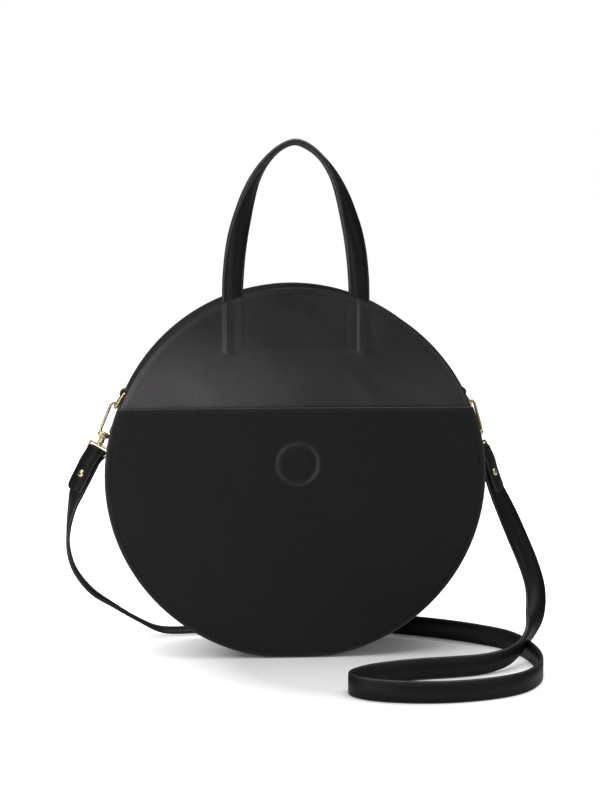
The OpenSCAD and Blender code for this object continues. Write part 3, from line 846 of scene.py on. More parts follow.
@dataclass
class RowAlongPath:
    """Lays one small piece along a path at an even pitch: stitches and zip teeth.

    The path's up direction is kept in an attribute, so that each piece stands on the surface.
    """

    name: str
    pitch: float
    wobble: float = 0.0
    seed: int = 7

    def __post_init__(self) -> None:
        """Builds the node tree."""
        tree = self.tree = bpy.data.node_groups.new(f"Row of {self.name}", "GeometryNodeTree")
        for label, kind in {"Path": "Geometry", "Piece": "Object", "Pitch": "Float", "Wobble": "Float",
                            "Seed": "Int", "Finish": "Material"}.items():
            tree.interface.new_socket(label, in_out="INPUT", socket_type=f"NodeSocket{kind}")
        tree.interface.new_socket("Row", in_out="OUTPUT", socket_type="NodeSocketGeometry")
        given = tree.nodes.new("NodeGroupInput").outputs
        curve = add_node(tree, "GeometryNodeMeshToCurve", {"Mesh": given["Path"]})
        even = add_node(tree, "GeometryNodeResampleCurve", {"Curve": curve, "Length": given["Pitch"]}, mode="LENGTH")
        up = add_node(tree, "GeometryNodeInputNamedAttribute", {"Name": "up"}, "Attribute", data_type="FLOAT_VECTOR")
        ahead = add_node(tree, "GeometryNodeInputTangent")
        stand = add_node(tree, "FunctionNodeAlignRotationToVector", {"Vector": up}, axis="Z")
        lie = add_node(tree, "FunctionNodeAlignRotationToVector", {"Rotation": stand, "Vector": ahead}, axis="X",
                       pivot_axis="Z")
        piece = add_node(tree, "GeometryNodeObjectInfo", {"Object": given["Piece"]}, "Geometry",
                         transform_space="ORIGINAL")
        laid = add_node(tree, "GeometryNodeInstanceOnPoints", {"Points": even, "Instance": piece, "Rotation": lie})
        minus = add_node(tree, "ShaderNodeMath", {0: given["Wobble"], 1: -1.0}, operation="MULTIPLY")
        low, high = (add_node(tree, "ShaderNodeCombineXYZ", {"Z": z}) for z in (minus, given["Wobble"]))
        chance = add_node(tree, "FunctionNodeRandomValue", {0: low, 1: high, "Seed": given["Seed"]},
                          data_type="FLOAT_VECTOR")
        turned = add_node(tree, "GeometryNodeRotateInstances", {"Instances": laid, "Rotation": chance})
        real = add_node(tree, "GeometryNodeRealizeInstances", {"Geometry": turned})
        done = add_node(tree, "GeometryNodeSetMaterial", {"Geometry": real, "Material": given["Finish"]})
        add_node(tree, "NodeGroupOutput", {"Row": done})

    def lay(self, name: str, piece: Piece, finish: Finish, paths: Sequence[tuple[Grid, Grid]]) -> Piece:
        """Lays the row along paths.

        Args:
            name: The new piece's name.
            piece: The small piece, drawn in metres along X and standing on Z.
            finish: Its material.
            paths: Points in millimetres and up directions of each path.

        Returns:
            A plain mesh of the whole row.
        """
        points, ups, edges = [], [], []
        for line, up in paths:
            start = len(points)
            points += (line * MM).tolist()
            ups += np.broadcast_to(up, line.shape).tolist()
            edges += [(k, k + 1) for k in range(start, start + len(line) - 1)]
        mesh = bpy.data.meshes.new(name)
        mesh.from_pydata(points, edges, [])
        mesh.attributes.new("up", "FLOAT_VECTOR", "POINT").data.foreach_set("vector", np.array(ups, np.float32).ravel())
        holder = add_object(name, mesh)
        modifier = holder.modifiers.new("Row", "NODES")
        modifier.node_group = self.tree
        values = {"Piece": piece, "Pitch": self.pitch * MM, "Wobble": self.wobble, "Seed": self.seed, "Finish": finish}
        for item in self.tree.interface.items_tree:
            if item.in_out == "INPUT" and item.name in values:
                modifier[item.identifier] = values[item.name]
        bpy.context.view_layer.update()
        ready = bpy.data.meshes.new_from_object(holder.evaluated_get(bpy.context.evaluated_depsgraph_get()))
        holder.modifiers.clear()
        holder.data = ready
        bpy.data.meshes.remove(mesh)
        if "up" in ready.attributes:
            ready.attributes.remove(ready.attributes["up"])
        ready.polygons.foreach_set("use_smooth", np.ones(len(ready.polygons), bool))
        return holder


@dataclass(frozen=True)
class Seam:
    """A sewn row: the stitches' length, their thread's radius, their pitch and how unevenly they lie."""

    stitch: float
    thread: float
    pitch: float
    wobble: float = 0.03

    def sew(self, name: str, finish: Finish, *paths: tuple[Grid, Grid]) -> Piece:
        """Sews the row with short threads that are bowed and sunk at both ends.

        Args:
            name: The row's name.
            finish: The thread's material.
            paths: Points and up directions of each path.

        Returns:
            The row.
        """
        steps = np.linspace(-1, 1, 7)
        bow = self.thread * 0.9 * (1 - steps ** 2) - self.thread * 0.5
        thin = (1 - 0.45 * np.abs(steps) ** 3)[:, None]
        line = together(steps * self.stitch / 2, 0.0, bow)
        shape = sweep("stitch", line, BACKWARD, circle(self.thread, 6), [], scale=thin)
        row = RowAlongPath("stitches", self.pitch, self.wobble).lay(name, shape, finish, paths)
        bpy.data.objects.remove(shape)
        return row


# ---------------------------------------------------------------- the bag's body


@dataclass(frozen=True)
class Round:
    """The bag's round outline, flattened where it stands. Sizes in millimetres, angles in degrees."""

    radius: float = 140.0
    flat: float = 5.0
    soft: float = 1.6
    front: float = -34.0
    panel: float = -32.0
    back: float = 34.0
    leather: float = 2.0
    slot: float = 32.81
    gusset: float = 4.5
    squat: float = 0.975

    @property
    def middle(self) -> float:
        """Height of the round's centre."""
        return self.radius - self.flat

    def at(self, degrees: Grid | float, inset: Grid | float = 0.0) -> Grid:
        """Places on the outline, or inside it.

        Args:
            degrees: Angles from the right, anticlockwise as seen from the front.
            inset: How far the places lie inside the outline.

        Returns:
            X and Z.
        """
        turn, r = np.radians(degrees), self.radius - inset
        low = inset - self.middle
        high = r * np.sin(turn) * np.where(np.sin(turn) < 0, self.squat, 1.0)
        gap = high - low
        return together(r * np.cos(turn), low + (gap + np.sqrt(gap * gap + self.soft ** 2)) / 2 + self.middle)

    def arc(self, radius: float, degrees: Grid | float, y: Grid | float = 0.0) -> Grid:
        """Places on a plain arc about the round's centre, at a depth."""
        turn = np.radians(degrees)
        return together(radius * np.cos(turn), y, self.middle + radius * np.sin(turn))

    def out(self, degrees: Grid | float) -> Grid:
        """The directions outward at angles from the right."""
        return self.arc(1.0, degrees) - [0, 0, self.middle]

    def edge(self, x: Grid, z: Grid) -> Grid:
        """How far a place lies inside the outline."""
        high = z - self.middle
        return np.minimum(self.radius - np.hypot(x, np.where(high < 0, high / self.squat, high)), z)

    def crown(self, x: Grid, z: Grid, height: float) -> Grid:
        """How far the soft panel stands out, with the slow waves of leather that hangs free.

        Args:
            x: Places across.
            z: Places upward.
            height: The crown at the middle.

        Returns:
            The crown at each place.
        """
        share = np.clip(np.hypot(x, z - self.middle) / self.radius, 0, 1)
        wave = 0.42 * np.sin(x / 31 + 0.6) * np.sin(z / 27 + 1.1)
        wave += 0.28 * np.sin(x / 19 - z / 23 + 0.4) + 0.12 * np.sin(x / 9 + z / 14)
        return height * (1 - share ** 2.2) + wave * (1 - share ** 4)

    def disc(self, us: Grid, vs: Grid, inset: float) -> Grid:
        """A grid over the whole round.

        Args:
            us: Shares across.
            vs: Shares upward.
            inset: How far the grid stays inside the outline.

        Returns:
            X and Z by row and column.
        """
        return patch(self.at(-150 + 120 * us, inset), self.at(-30 + 60 * vs, inset),
                     self.at(150 - 120 * us, inset), self.at(-150 - 60 * vs, inset), us, vs)


ROUND = Round()

# The rows of stitches on the panels, beside the zip and on the ring tabs.
PANEL_SEAM = Seam(stitch=2.6, thread=0.3, pitch=3.4)
ZIP_SEAM = Seam(stitch=2.4, thread=0.28, pitch=3.1)
TAB_SEAM = Seam(stitch=2.2, thread=0.28, pitch=2.8, wobble=0.02)


def raised(flat: Grid, depth: Grid | float) -> Grid:
    """Puts flat places at a depth."""
    return together(flat[..., 0], depth, flat[..., 1])


def leaf(name: str, flat: Grid, depth: Grid, thickness: float, bulge: float, finishes: Sequence[Finish],
         rounds: int = 5) -> Piece:
    """Makes an upright sheet of leather or cloth.

    Args:
        name: The sheet's name.
        flat: Its grid of X and Z.
        depth: Its outer face's depth at each place.
        thickness: How much farther back its inner face lies.
        bulge: How far its rounded edge stands out.
        finishes: Materials of the outer face, the inner face and the edge.
        rounds: Number of loops round the edge.

    Returns:
        The sheet.
    """
    return closed_sheet(name, raised(flat, depth), raised(flat, depth + thickness), bulge, finishes, flat, rounds)


@dataclass(frozen=True)
class Crease:
    """A soft crease in hanging leather: its two ends, how far it rises, and its half width."""

    start: tuple[float, float]
    end: tuple[float, float]
    rise: float
    width: float

    def height(self, x: Grid, z: Grid) -> Grid:
        """How far the crease rises.

        Args:
            x: Places across.
            z: Places upward.

        Returns:
            The rise at each place.
        """
        (x0, z0), (x1, z1) = self.start, self.end
        along = np.clip(((x - x0) * (x1 - x0) + (z - z0) * (z1 - z0)) / ((x1 - x0) ** 2 + (z1 - z0) ** 2), 0, 1)
        away = np.hypot(x - x0 - along * (x1 - x0), z - z0 - along * (z1 - z0))
        return self.rise * ridge(away, 0, self.width) * np.sin(math.pi * np.clip(along * 0.8 + 0.1, 0, 1))


@dataclass
class SubAssembly:
    """A part of the bag that is dressed from the bag's finishes."""

    palette: Palette

    @property
    def hide(self) -> list[Finish]:
        """The finishes of a gusset or a back: the face, the flesh side and the edge."""
        return [self.palette.leather, self.palette.suede, self.palette.leather]

    @property
    def strap(self) -> list[Finish]:
        """The finishes of a strap: its faces and its painted edges."""
        return [self.palette.strap_leather, self.palette.paint]


@dataclass
class FrontPanel(SubAssembly):
    """The upper front panel, whose smooth face shows the handle's ends as two ridges."""

    step: float = 1.0
    crown: float = 2.4
    rolled: float = 1.3
    leg: float = 46.0
    ridge_peaks: tuple[float, float] = (-50.6, 46.4)
    ridge_foot: float = 228.0
    ridge_rise: float = 1.3
    ridge_dip: float = 0.9
    leg_rise: float = 0.35
    foot_rise: float = 0.45
    line_rise: float = 0.16
    line_height: float = 229.5
    # Where a rib, and the dip beside it, begin, are full and end, from the rib's peak to the right.
    rib_form: tuple[float, ...] = (-2.2, -0.1, 0.1, 3.0)
    dip_form: tuple[float, ...] = (1.6, 4.0, 4.6, 17.0)
    # The grid's spacing: each share of the width and of the height, and the step up to it.
    columns: Places = ((.30, .008), (.38, .0035), (.62, .008), (.70, .0035), (1, .008))
    rows: Places = ((.5, .012), (.8, .008), (1, .0045))
    dent: tuple[float, float] = (1.0, 268.0)
    dent_depth: float = 1.1
    creases: tuple[Crease, ...] = (
        Crease((38, 214), (60, 186), 0.5, 4.0), Crease((52, 216), (66, 194), -0.4, 4.5),
        Crease((-80, 205), (-48, 196), 0.45, 7.0), Crease((-95, 196), (-70, 186), -0.35, 6.0),
        Crease((4, 262), (14, 246), 0.3, 5.0), Crease((88, 206), (104, 190), 0.35, 5.0))

    def ridges(self, x: Grid, z: Grid) -> Grid:
        """How far the handle's two ends press through, and the faint line between their feet.

        Args:
            x: Places across.
            z: Places upward.

        Returns:
            The rise at each place.
        """
        leg, foot = self.leg, self.ridge_foot
        out = self.line_rise * plateau(x, -leg - 7, -leg + 2, leg - 2, leg + 7) * ridge(z, self.line_height, 1.8)
        for peak in self.ridge_peaks:
            along = np.abs(x) * (np.sign(x) == np.sign(peak))
            body = plateau(along, leg - 9, leg - 5.5, leg + 5.5, leg + 8.5)
            # Each rib is steep toward the left, and the leather dips beside it on the right.
            rib, dip = plateau(x - peak, *self.rib_form), plateau(x - peak, *self.dip_form)
            lifted = smooth_step(z, foot - 3, foot + 2)
            out += lifted * (self.leg_rise * body + self.ridge_rise * rib - self.ridge_dip * dip)
            tip = np.hypot(along - abs(peak) - 2, (z - foot + 2) * 0.8)
            out += self.foot_rise * ridge(tip, 0, 4.5)
        return out

    def depth(self, flat: Grid) -> Grid:
        """The face's depth at each place of a grid.

        Args:
            flat: X and Z of each place.

        Returns:
            The depths.
        """
        x, z = flat[..., 0], flat[..., 1]
        out = ROUND.crown(x, z, self.crown) + self.ridges(x, z)
        out += self.rolled * (smooth_step(ROUND.edge(x, z) - self.step, 0, 5) - 1)
        out -= self.dent_depth * ridge(x, self.dent[0], 13) * ridge(z, self.dent[1], 7)
        return ROUND.panel - out - sum(crease.height(x, z) for crease in self.creases)

    def build(self) -> Piece:
        """Builds the panel as one skin over the mouth's fold.

        Returns:
            The panel.
        """
        us, vs = spaced(*self.columns), spaced(*self.rows)
        flat = ROUND.disc(us, vs, self.step + 1.0)
        finishes = [self.palette.panel_leather, self.palette.suede, self.palette.pocket_leather]
        piece = leaf("front_skin", flat, self.depth(flat), ROUND.leather, 1.0, finishes)
        return declare(piece, "black_leather", Bend.MOUTH, "front_panel", "mouth_panel")


@dataclass
class Pocket(SubAssembly):
    """The slip pocket over the lower two thirds of the front, with its pressed ring and magnet."""

    top: float = 186.0
    crown: float = 2.4
    rolled: float = 1.5
    magnet: float = 146.0
    ring: float = 15.0
    ring_width: float = 1.5
    ring_depth: float = 1.7
    cushion: float = 0.55
    halo: float = 0.18
    halo_out: float = 3.2
    halo_width: float = 1.6
    # How much the mouth gives, and its fall to the right and its bow upward as shares of that.
    slack: float = 0.6
    fall: float = 1.3
    bow: float = 0.9
    seam: float = 4.3
    groove: float = 0.42
    groove_width: float = 0.9
    # How far below the mouth the groove begins and has ended to fade.
    groove_fade: tuple[float, float] = (22.0, 6.0)
    held: tuple[float, float] = (4.0, 52.0)
    magnet_size: tuple[float, float] = (9.0, 1.2)
    columns: Places = ((.41, .0125), (.59, .0027), (1, .0125))
    rows: Places = ((.62, .013), (.93, .0042), (1, .01))

    def depth(self, flat: Grid) -> Grid:
        """The face's depth at each place of a grid.

        Args:
            flat: X and Z of each place.

        Returns:
            The depths.
        """
        x, z = flat[..., 0], flat[..., 1]
        inside = ROUND.edge(x, z)
        out = ROUND.crown(x, z, self.crown) + self.rolled * (smooth_step(inside, -0.5, 3.6) - 1)
        groove = self.groove * ridge(inside, self.seam, self.groove_width)
        out -= groove * (1 - smooth_step(z, self.top - self.groove_fade[0], self.top - self.groove_fade[1]))
        away = np.hypot(x, z - self.magnet)
        out -= self.ring_depth * ridge(away, self.ring, self.ring_width)
        out += self.cushion * (1 - smooth_step(away, self.ring - 5, self.ring - 1))
        return ROUND.front - out - self.halo * ridge(away, self.ring + self.halo_out, self.halo_width)

    def skin(self) -> Piece:
        """Builds the pocket's skin, whose mouth falls a little to the right and bows up.

        Returns:
            The skin.
        """
        us, vs = spaced(*self.columns), spaced(*self.rows)
        end = math.degrees(math.asin((self.top - ROUND.middle) / ROUND.radius))
        left, right = ROUND.at(-180 - end, 1.0), ROUND.at(end, 1.0)
        mouth = left + (right - left) * us[:, None]
        mouth[:, 1] -= self.slack * (self.fall * us - self.bow * np.sin(math.pi * us))
        flat = patch(ROUND.at(-150 + 120 * us, 1.0), ROUND.at(-30 + (end + 30) * vs, 1.0), mouth,
                     ROUND.at(-150 - (end + 30) * vs, 1.0), us, vs)
        finishes = [self.palette.pocket_leather, self.palette.suede, self.palette.paint]
        piece = leaf("pocket_skin", flat, self.depth(flat), ROUND.leather - 0.1, 1.0, finishes, rounds=7)
        return declare(piece, "black_leather", Bend.POCKET, "pocket_panel", "pocket_mouth")

    def hold_rim(self, piece: Piece) -> None:
        """Keeps the pocket's sewn rim still while its mouth bows out.

        Args:
            piece: A piece that blends from the shell to the pocket.
        """
        count = len(piece.data.vertices)
        at, weight = np.zeros(count * 3), np.zeros(count, np.float32)
        piece.data.vertices.foreach_get("co", at)
        x, _, z = at.reshape(-1, 3).T / MM
        data = piece.data.attributes["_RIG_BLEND"].data
        data.foreach_get("value", weight)
        data.foreach_set("value", (weight * smooth_step(ROUND.edge(x, z), *self.held)).astype(np.float32))

    def build(self) -> list[Piece]:
        """Builds the pocket's skin, its stitched seam and the two magnets.

        Returns:
            The pieces.
        """
        skin = self.skin()
        self.hold_rim(skin)
        flat = ROUND.at(np.linspace(10, -190, 700), self.seam)
        path = (raised(flat, self.depth(flat) - 0.05), (0, -1, 0))
        stitches = PANEL_SEAM.sew("pocket_stitches", self.palette.thread, path)
        pieces = [skin, declare(stitches, "black_leather", "shell")]
        radius, thick = self.magnet_size
        deep = float(self.depth(np.array([0.0, self.magnet]))) + ROUND.leather + thick / 2
        for name, body, face in (("magnet_pocket", "pocket", deep - 0.7), ("magnet_body", "shell", deep + 1.2)):
            place = Matrix.Translation((0, face, self.magnet)) @ QUARTER
            piece = bevelled(f"{name}_disc", plate(circle(radius, 48), thick, place), [self.palette.steel], 0.25, 2)
            pieces.append(declare(piece, "magnet_steel", body, name))
        return pieces


@dataclass
class BackPanel(SubAssembly):
    """The plain back, which sags a little, with one row of stitches inside its edge."""

    crown: float = 4.5
    rolled: float = 0.8
    seam: float = 4.3
    groove: float = 0.42
    groove_width: float = 0.9
    columns: Places = ((.06, .005), (.94, .0115), (1, .005))

    def depth(self, flat: Grid) -> Grid:
        """The outer face's depth at each place of a grid.

        Args:
            flat: X and Z of each place.

        Returns:
            The depths.
        """
        x, z = flat[..., 0], flat[..., 1]
        inside = ROUND.edge(x, z)
        out = ROUND.crown(-x, z, self.crown) + self.rolled * (smooth_step(inside, 0, 4) - 1)
        return ROUND.back + out - self.groove * ridge(inside, self.seam, self.groove_width)

    def build(self) -> list[Piece]:
        """Builds the back and its stitches.

        Returns:
            The pieces.
        """
        shares = spaced(*self.columns)
        flat = ROUND.disc(shares, shares, 1.0)
        skin = leaf("back_skin", flat, self.depth(flat), -ROUND.leather, 1.0, self.hide)
        flat = ROUND.at(np.linspace(-90, 270, 1200), self.seam)
        path = (raised(flat, self.depth(flat) + 0.05), BACKWARD)
        row = PANEL_SEAM.sew("back_stitches", self.palette.thread, path)
        return [declare(skin, "black_leather", "shell", "back_panel"), declare(row, "black_leather", "shell")]


@dataclass
class Gusset(SubAssembly):
    """The strip of leather round the bag: whole under the base, and split by the zip over the top."""

    front: float = -29.9
    back: float = 31.9
    zip_half: float = 6.0
    bulge: float = 0.9
    # The front strip is let in where the handle comes through: the middle, the half width and the depth.
    notch: tuple[float, float, float] = (46.0, 10.3, 5.0)
    topstitch: float = 2.2
    wave: float = 0.35
    bow: float = 0.3
    turned_in: float = 0.45
    turned_width: float = 1.3
    sag_share: float = 0.6

    def band(self, name: str, angles: Grid, near: Grid | float, far: float, columns: int = 22) -> Piece:
        """Builds a strip round part of the outline.

        Args:
            name: The strip's name.
            angles: Angles along it, as a column.
            near: The front edge's depth, or one for each angle.
            far: The back edge's depth.
            columns: Points across.

        Returns:
            The strip.
        """
        y0, y1 = near + self.bulge, far - self.bulge
        y = y0 + (y1 - y0) * np.linspace(0, 1, columns)
        # The leather sags between its edges, but not at the flat base that the bag stands on.
        free = np.clip((np.abs(np.sin(np.radians((angles + 90) / 2))) - 0.12) * 6, 0, 1)
        sag = self.wave * np.sin(y / 13 + angles / 9) * np.sin(angles / 14) + self.bow * np.cos(math.pi * (y - 1) / 66)
        sag -= self.turned_in * (ridge(y, y1, self.turned_width) + ridge(y, y0, self.turned_width))
        inset = ROUND.gusset * free + self.turned_in - sag * self.sag_share * free
        outer, inner = (raised(ROUND.at(angles, inset + i), y) for i in (0, ROUND.leather - 0.2))
        return closed_sheet(name, outer, inner, self.bulge, self.hide, wrapped(ROUND.radius, angles, y))

    def build(self) -> list[Piece]:
        """Builds the gusset's strips and the topstitching beside the zip.

        Returns:
            The pieces.
        """
        start, end = ROUND.slot - 0.3, 180.3 - ROUND.slot
        under = np.linspace(-180 - ROUND.slot, ROUND.slot, 190)[:, None]
        low = self.band("gusset_base", under, self.front, self.back, 34)
        back = self.band("gusset_rear", np.linspace(start, end, 110)[:, None], self.zip_half, self.back)
        over = np.linspace(start, end, 150)[:, None]
        centre, half, deep = self.notch
        beside = half - np.abs(np.abs(ROUND.at(over)[..., 0]) - centre)
        front = self.band("gusset_front_strip", over, self.front + deep * smooth_step(beside, 0, 1.6), -self.zip_half)
        angles = np.linspace(ROUND.slot + 0.5, 179.5 - ROUND.slot, 500)
        spots = ROUND.at(angles, ROUND.gusset + 0.42)
        rows = []
        for name, body, sign in (("topstitch_rear", "shell", 1), ("topstitch_front", Bend.ZIP, -1)):
            path = (raised(spots, sign * (self.zip_half + self.topstitch)), ROUND.out(angles))
            row = ZIP_SEAM.sew(name, self.palette.thread, path)
            rows.append(declare(row, "black_leather", body))
        return [declare(low, "black_leather", "shell", "base_gusset"),
                declare(back, "black_leather", "shell", "gusset_back"), *rows,
                declare(front, "black_leather", Bend.ZIP, "gusset_front")]


@dataclass
class Lining(SubAssembly):
    """The twill lining: a back, a wall under the zip, and a front that steps over the handle's ends."""

    inset: float = 8.3
    thickness: float = 0.7
    bulge: float = 0.35
    wall_inset: float = 7.4
    wall: tuple[float, float] = (-28.8, 30.8)
    back: float = 31.1
    crown: float = 4.4
    waves: float = 0.5
    # The front steps over the handle's ends: where the step begins and ends, and its height.
    step: tuple[float, float, float] = (214.0, 224.0, 5.3)
    patch_behind: float = 4.5
    patch_wide: float = 52.0
    patch_high: tuple[float, float] = (223.5, 253.5)

    def build(self) -> list[Piece]:
        """Builds the lining and the cloth patch behind the handle's ends.

        Returns:
            The pieces.
        """
        cloth = [self.palette.twill] * 3
        more = (self.thickness, self.bulge, cloth)
        shares = np.linspace(0, 1, 70)
        flat = ROUND.disc(shares, shares, self.inset)
        x, z = flat[..., 0], flat[..., 1]
        rest = self.back + ROUND.crown(-x, z, self.crown)
        rest -= self.waves * np.sin(x / 23) * np.sin(z / 31)
        back = leaf("lining_rear", flat, rest, -self.thickness, self.bulge, cloth)
        angles, y = np.linspace(-175 - ROUND.slot, ROUND.slot - 5, 150)[:, None], np.linspace(*self.wall, 24)
        outer, inner = (raised(ROUND.at(angles, self.wall_inset + i), y) for i in (0, self.thickness))
        side = closed_sheet("lining_wall", outer, inner, self.bulge, cloth, wrapped(ROUND.radius, angles, y))
        panel = FrontPanel(self.palette)
        low, high, rise = self.step
        ahead = panel.depth(flat) + ROUND.leather + 0.15 + rise * smooth_step(z, low, high)
        front = leaf("lining_fore", flat, ahead, *more)
        spots = together(*np.meshgrid(np.linspace(-self.patch_wide, self.patch_wide, 40),
                                      np.linspace(*self.patch_high, 14)))
        level = panel.depth(spots) + ROUND.leather + self.patch_behind
        behind = leaf("handle_patch_cloth", spots, level, *more)
        body = joined("lining_body", [back, side])
        return [declare(body, "black_cloth", "shell", "lining_back"),
                declare(front, "black_cloth", Bend.MOUTH, "lining_front", "lining_mouth"),
                declare(behind, "black_cloth", Bend.MOUTH, "handle_patch")]


# ---------------------------------------------------------------- zip


@dataclass
class Zip(SubAssembly):
    """The metal zip over the bag's top: two tapes, two rows of teeth that interlock, a slider and its pull."""

    tape_radius: float = 133.4
    tape_width: float = 9.0
    tape_thick: float = 0.7
    first: float = 36.8
    foot: float = 30.37
    first_tooth: float = 39.9
    teeth: int = 96
    tooth_height: float = 2.2
    tooth_side: Places = ((0.8, -3.0), (0.85, -1.6), (0.55, -0.95), (0.62, 0.3), (0.35, 0.62))
    # How far a tooth narrows toward its top, and where along it.
    tooth_taper: tuple[float, float] = (0.78, 0.86)
    tooth_waist: float = -1.2
    end_teeth: tuple[tuple[float, float], ...] = ((33.95, 36.5), (143.7, 146.05))
    rest: float = 36.965
    slider_base: float = 136.2
    slider_size: tuple[float, float] = (8.6, 11.0)
    cheek: Places = ((0.2, -1.9), (3.2, -1.2), (3.9, -0.5), (3.9, 0.5), (3.2, 1.2), (0.2, 1.9))
    cheek_half: float = 1.45
    wall: float = 1.0
    lip: float = 2.1
    bail: float = 3.0
    pin: tuple[float, float] = (0.45, 3.4)
    pull_length: float = 21.0
    pull_width: float = 6.0
    pull_thick: float = 1.4

    def tape(self, name: str, start: float, end: float, near: float, far: float) -> Piece:
        """Builds a length of tape.

        Args:
            name: The tape's name.
            start: Its first angle.
            end: Its last angle.
            near: Depth of its front edge.
            far: Depth of its back edge.

        Returns:
            The tape.
        """
        angles = np.linspace(start, end, max(8, int((end - start) * 1.6)))[:, None]
        shares, bulge = np.linspace(0, 1, 9), 0.3
        y = near + bulge + (far - near - 2 * bulge) * shares
        outer, inner = (ROUND.arc(self.tape_radius - i, angles, y) for i in (0, self.tape_thick))
        cloth = wrapped(self.tape_radius, angles, (far - near) * shares)
        return closed_sheet(name, outer, inner, bulge, [self.palette.tape] * 3, cloth, 3)

    def tooth(self) -> Piece:
        """Builds one tooth, with its foot on the tape and its narrower head over the zip's middle.

        Returns:
            The tooth.
        """
        right = self.tooth_side
        left = [(-x, y) for x, y in right]
        outline = [left[0], *right, *left[:0:-1]]
        work = plate(outline, self.tooth_height, Matrix.Translation((0, 0, self.tooth_height / 2 - 0.1)))
        for vert in work.verts:
            if vert.co.z > self.tooth_height / 2:
                vert.co.x *= self.tooth_taper[0]
                vert.co.y = self.tooth_waist + (vert.co.y - self.tooth_waist) * self.tooth_taper[1]
        return bevelled("tooth", work, [])

    def row(self, name: str, front: bool, low: float, high: float, shape: Piece) -> Piece:
        """Lays a row of teeth.

        Args:
            name: The row's name.
            front: Whether it is the front row, whose teeth fit between the other's.
            low: The row's first angle.
            high: Its last angle.
            shape: One tooth.

        Returns:
            The row.
        """
        radius = self.tape_radius + 0.1
        step = (180 - 2 * self.first_tooth) / (self.teeth - 1)
        low += 0.5 * step if front else 0
        turns = low + step * np.arange(int((high - low) / step + 1e-6) + 1)
        if front:
            turns = turns[::-1]
        path = (ROUND.arc(radius, turns), ROUND.out(turns))
        # The pitch is a hair short, so that rounding never drops the last tooth.
        return RowAlongPath("teeth", math.radians(step) * radius * 0.9995).lay(name, shape, self.palette.gold, [path])

    def part(self, outline: Places, depth: float, place: Matrix, bevel: float, *holes: Places) -> Piece:
        """Builds one gold plate of the slider or the pull."""
        return bevelled("part", plate(outline, depth, place, holes), [self.palette.gold], bevel)

    @property
    def on_slider(self) -> Matrix:
        """The slider's own frame: X outward, Y to the back, Z along the zip."""
        return Matrix.Translation(ROUND.arc(self.slider_base, self.rest)) @ Matrix.Rotation(
            -math.radians(self.rest), 4, "Y")

    def slider(self) -> Piece:
        """Builds the slider: a waisted plate with two lips and a bail with its pin.

        Returns:
            The slider.
        """
        wide, long = (size / 2 for size in self.slider_size)
        right = [(wide - 1.3, -long), (wide, -long + 1.4), (wide - 0.55, 0.4), (wide, long - 2.2),
                 (wide - 1.6, long - 0.2)]
        left = [(-x, z) for x, z in reversed(right)]
        shape = [*left[3:], *right, (0, long), *left[:3]]
        parts = [self.part(shape, self.wall, Matrix.Translation((self.wall / 2, 0, 0)) @ FACE, 0.3)]
        box = rounded_box((self.lip + self.wall, 2 * long - 1.4), 0.5, 3)
        for sign in (-1, 1):
            place = Matrix.Translation(((self.wall - self.lip) / 2, sign * (wide - self.wall / 2), 0)) @ STAND
            parts.append(self.part(box, self.wall, place, 0.25))
            place = Matrix.Translation((0, sign * self.cheek_half, 0)) @ STAND
            parts.append(self.part(self.cheek, self.wall * 0.9, place, 0.22))
        radius, length = self.pin
        parts.append(self.part(circle(radius, 20), length, Matrix.Translation((self.bail, 0, 0)) @ QUARTER, 0.08))
        return joined("slider_body", parts, self.on_slider)

    def pull(self) -> Piece:
        """Builds the pull: an eye, a neck and a long paddle with a slot.

        Returns:
            The pull.
        """
        half, low, high, round_off = self.pull_width / 2, -self.pull_length, -6.0, 2.6
        right = [(0.9, high + 1.2), (half - 0.9, high), (half, high - 2.5), (half, low + round_off)]
        turns = np.linspace(0.25, math.pi - 0.25, 9)
        foot = together(half * np.cos(turns), low + round_off * (1 - np.sin(turns)))
        left = [(-x, y) for x, y in reversed(right)]
        paddle = [*left[2:], *right, *foot, *left[:2]]
        hole = rounded_box((2.0, 6.0), 0.95, 4, low + 6.5)
        parts = [self.part(paddle, self.pull_thick, FACE, 0.3, hole)]
        parts.append(self.part(rounded_box((1.7, 5.4), 0.6, 3, -3.6), 1.3, FACE, 0.25))
        loop = upright(circle(1.15, 28))
        parts.append(sweep("eye", loop, BACKWARD, circle(0.55, 12) * [1.4, 1.0], [self.palette.gold], closed=True))
        return joined("zip_pull", parts, self.on_slider @ Matrix.Translation((self.bail, 0, 0)))

    def build(self) -> list[Piece]:
        """Builds the zip and puts each half on its own body.

        Returns:
            The pieces.
        """
        top, wide = (self.first, 180 - self.first), self.tape_width
        shape = self.tooth()
        tapes = [self.tape("tape_rear", *top, 0.15, wide), self.tape("tape_fore", *top, -wide, -0.15)]
        teeth = [self.row("teeth_rear", False, *top, shape), self.row("teeth_fore", True, *top, shape)]
        ends = [self.tape("end", *span, -wide, wide) for span in ((self.foot, top[0]), (top[1], 180 - self.foot))]
        ends += [self.row("end_teeth", front, *span, shape) for span in self.end_teeth for front in (True, False)]
        closed = joined("zip_closed_ends", ends)
        bpy.data.objects.remove(shape)
        return [declare(tapes[0], "black_cloth", "shell", "tape_back"),
                declare(tapes[1], "black_cloth", Bend.ZIP, "tape_front"),
                declare(teeth[0], "pale_gold", "shell", "teeth_back"),
                declare(teeth[1], "pale_gold", Bend.ZIP, "teeth_front"),
                declare(closed, "black_cloth", "shell", "zip_ends"),
                declare(self.slider(), "pale_gold", "slider", "slider"),
                declare(self.pull(), "pale_gold", "pull", "pull")]


# ---------------------------------------------------------------- handle, hardware and strap


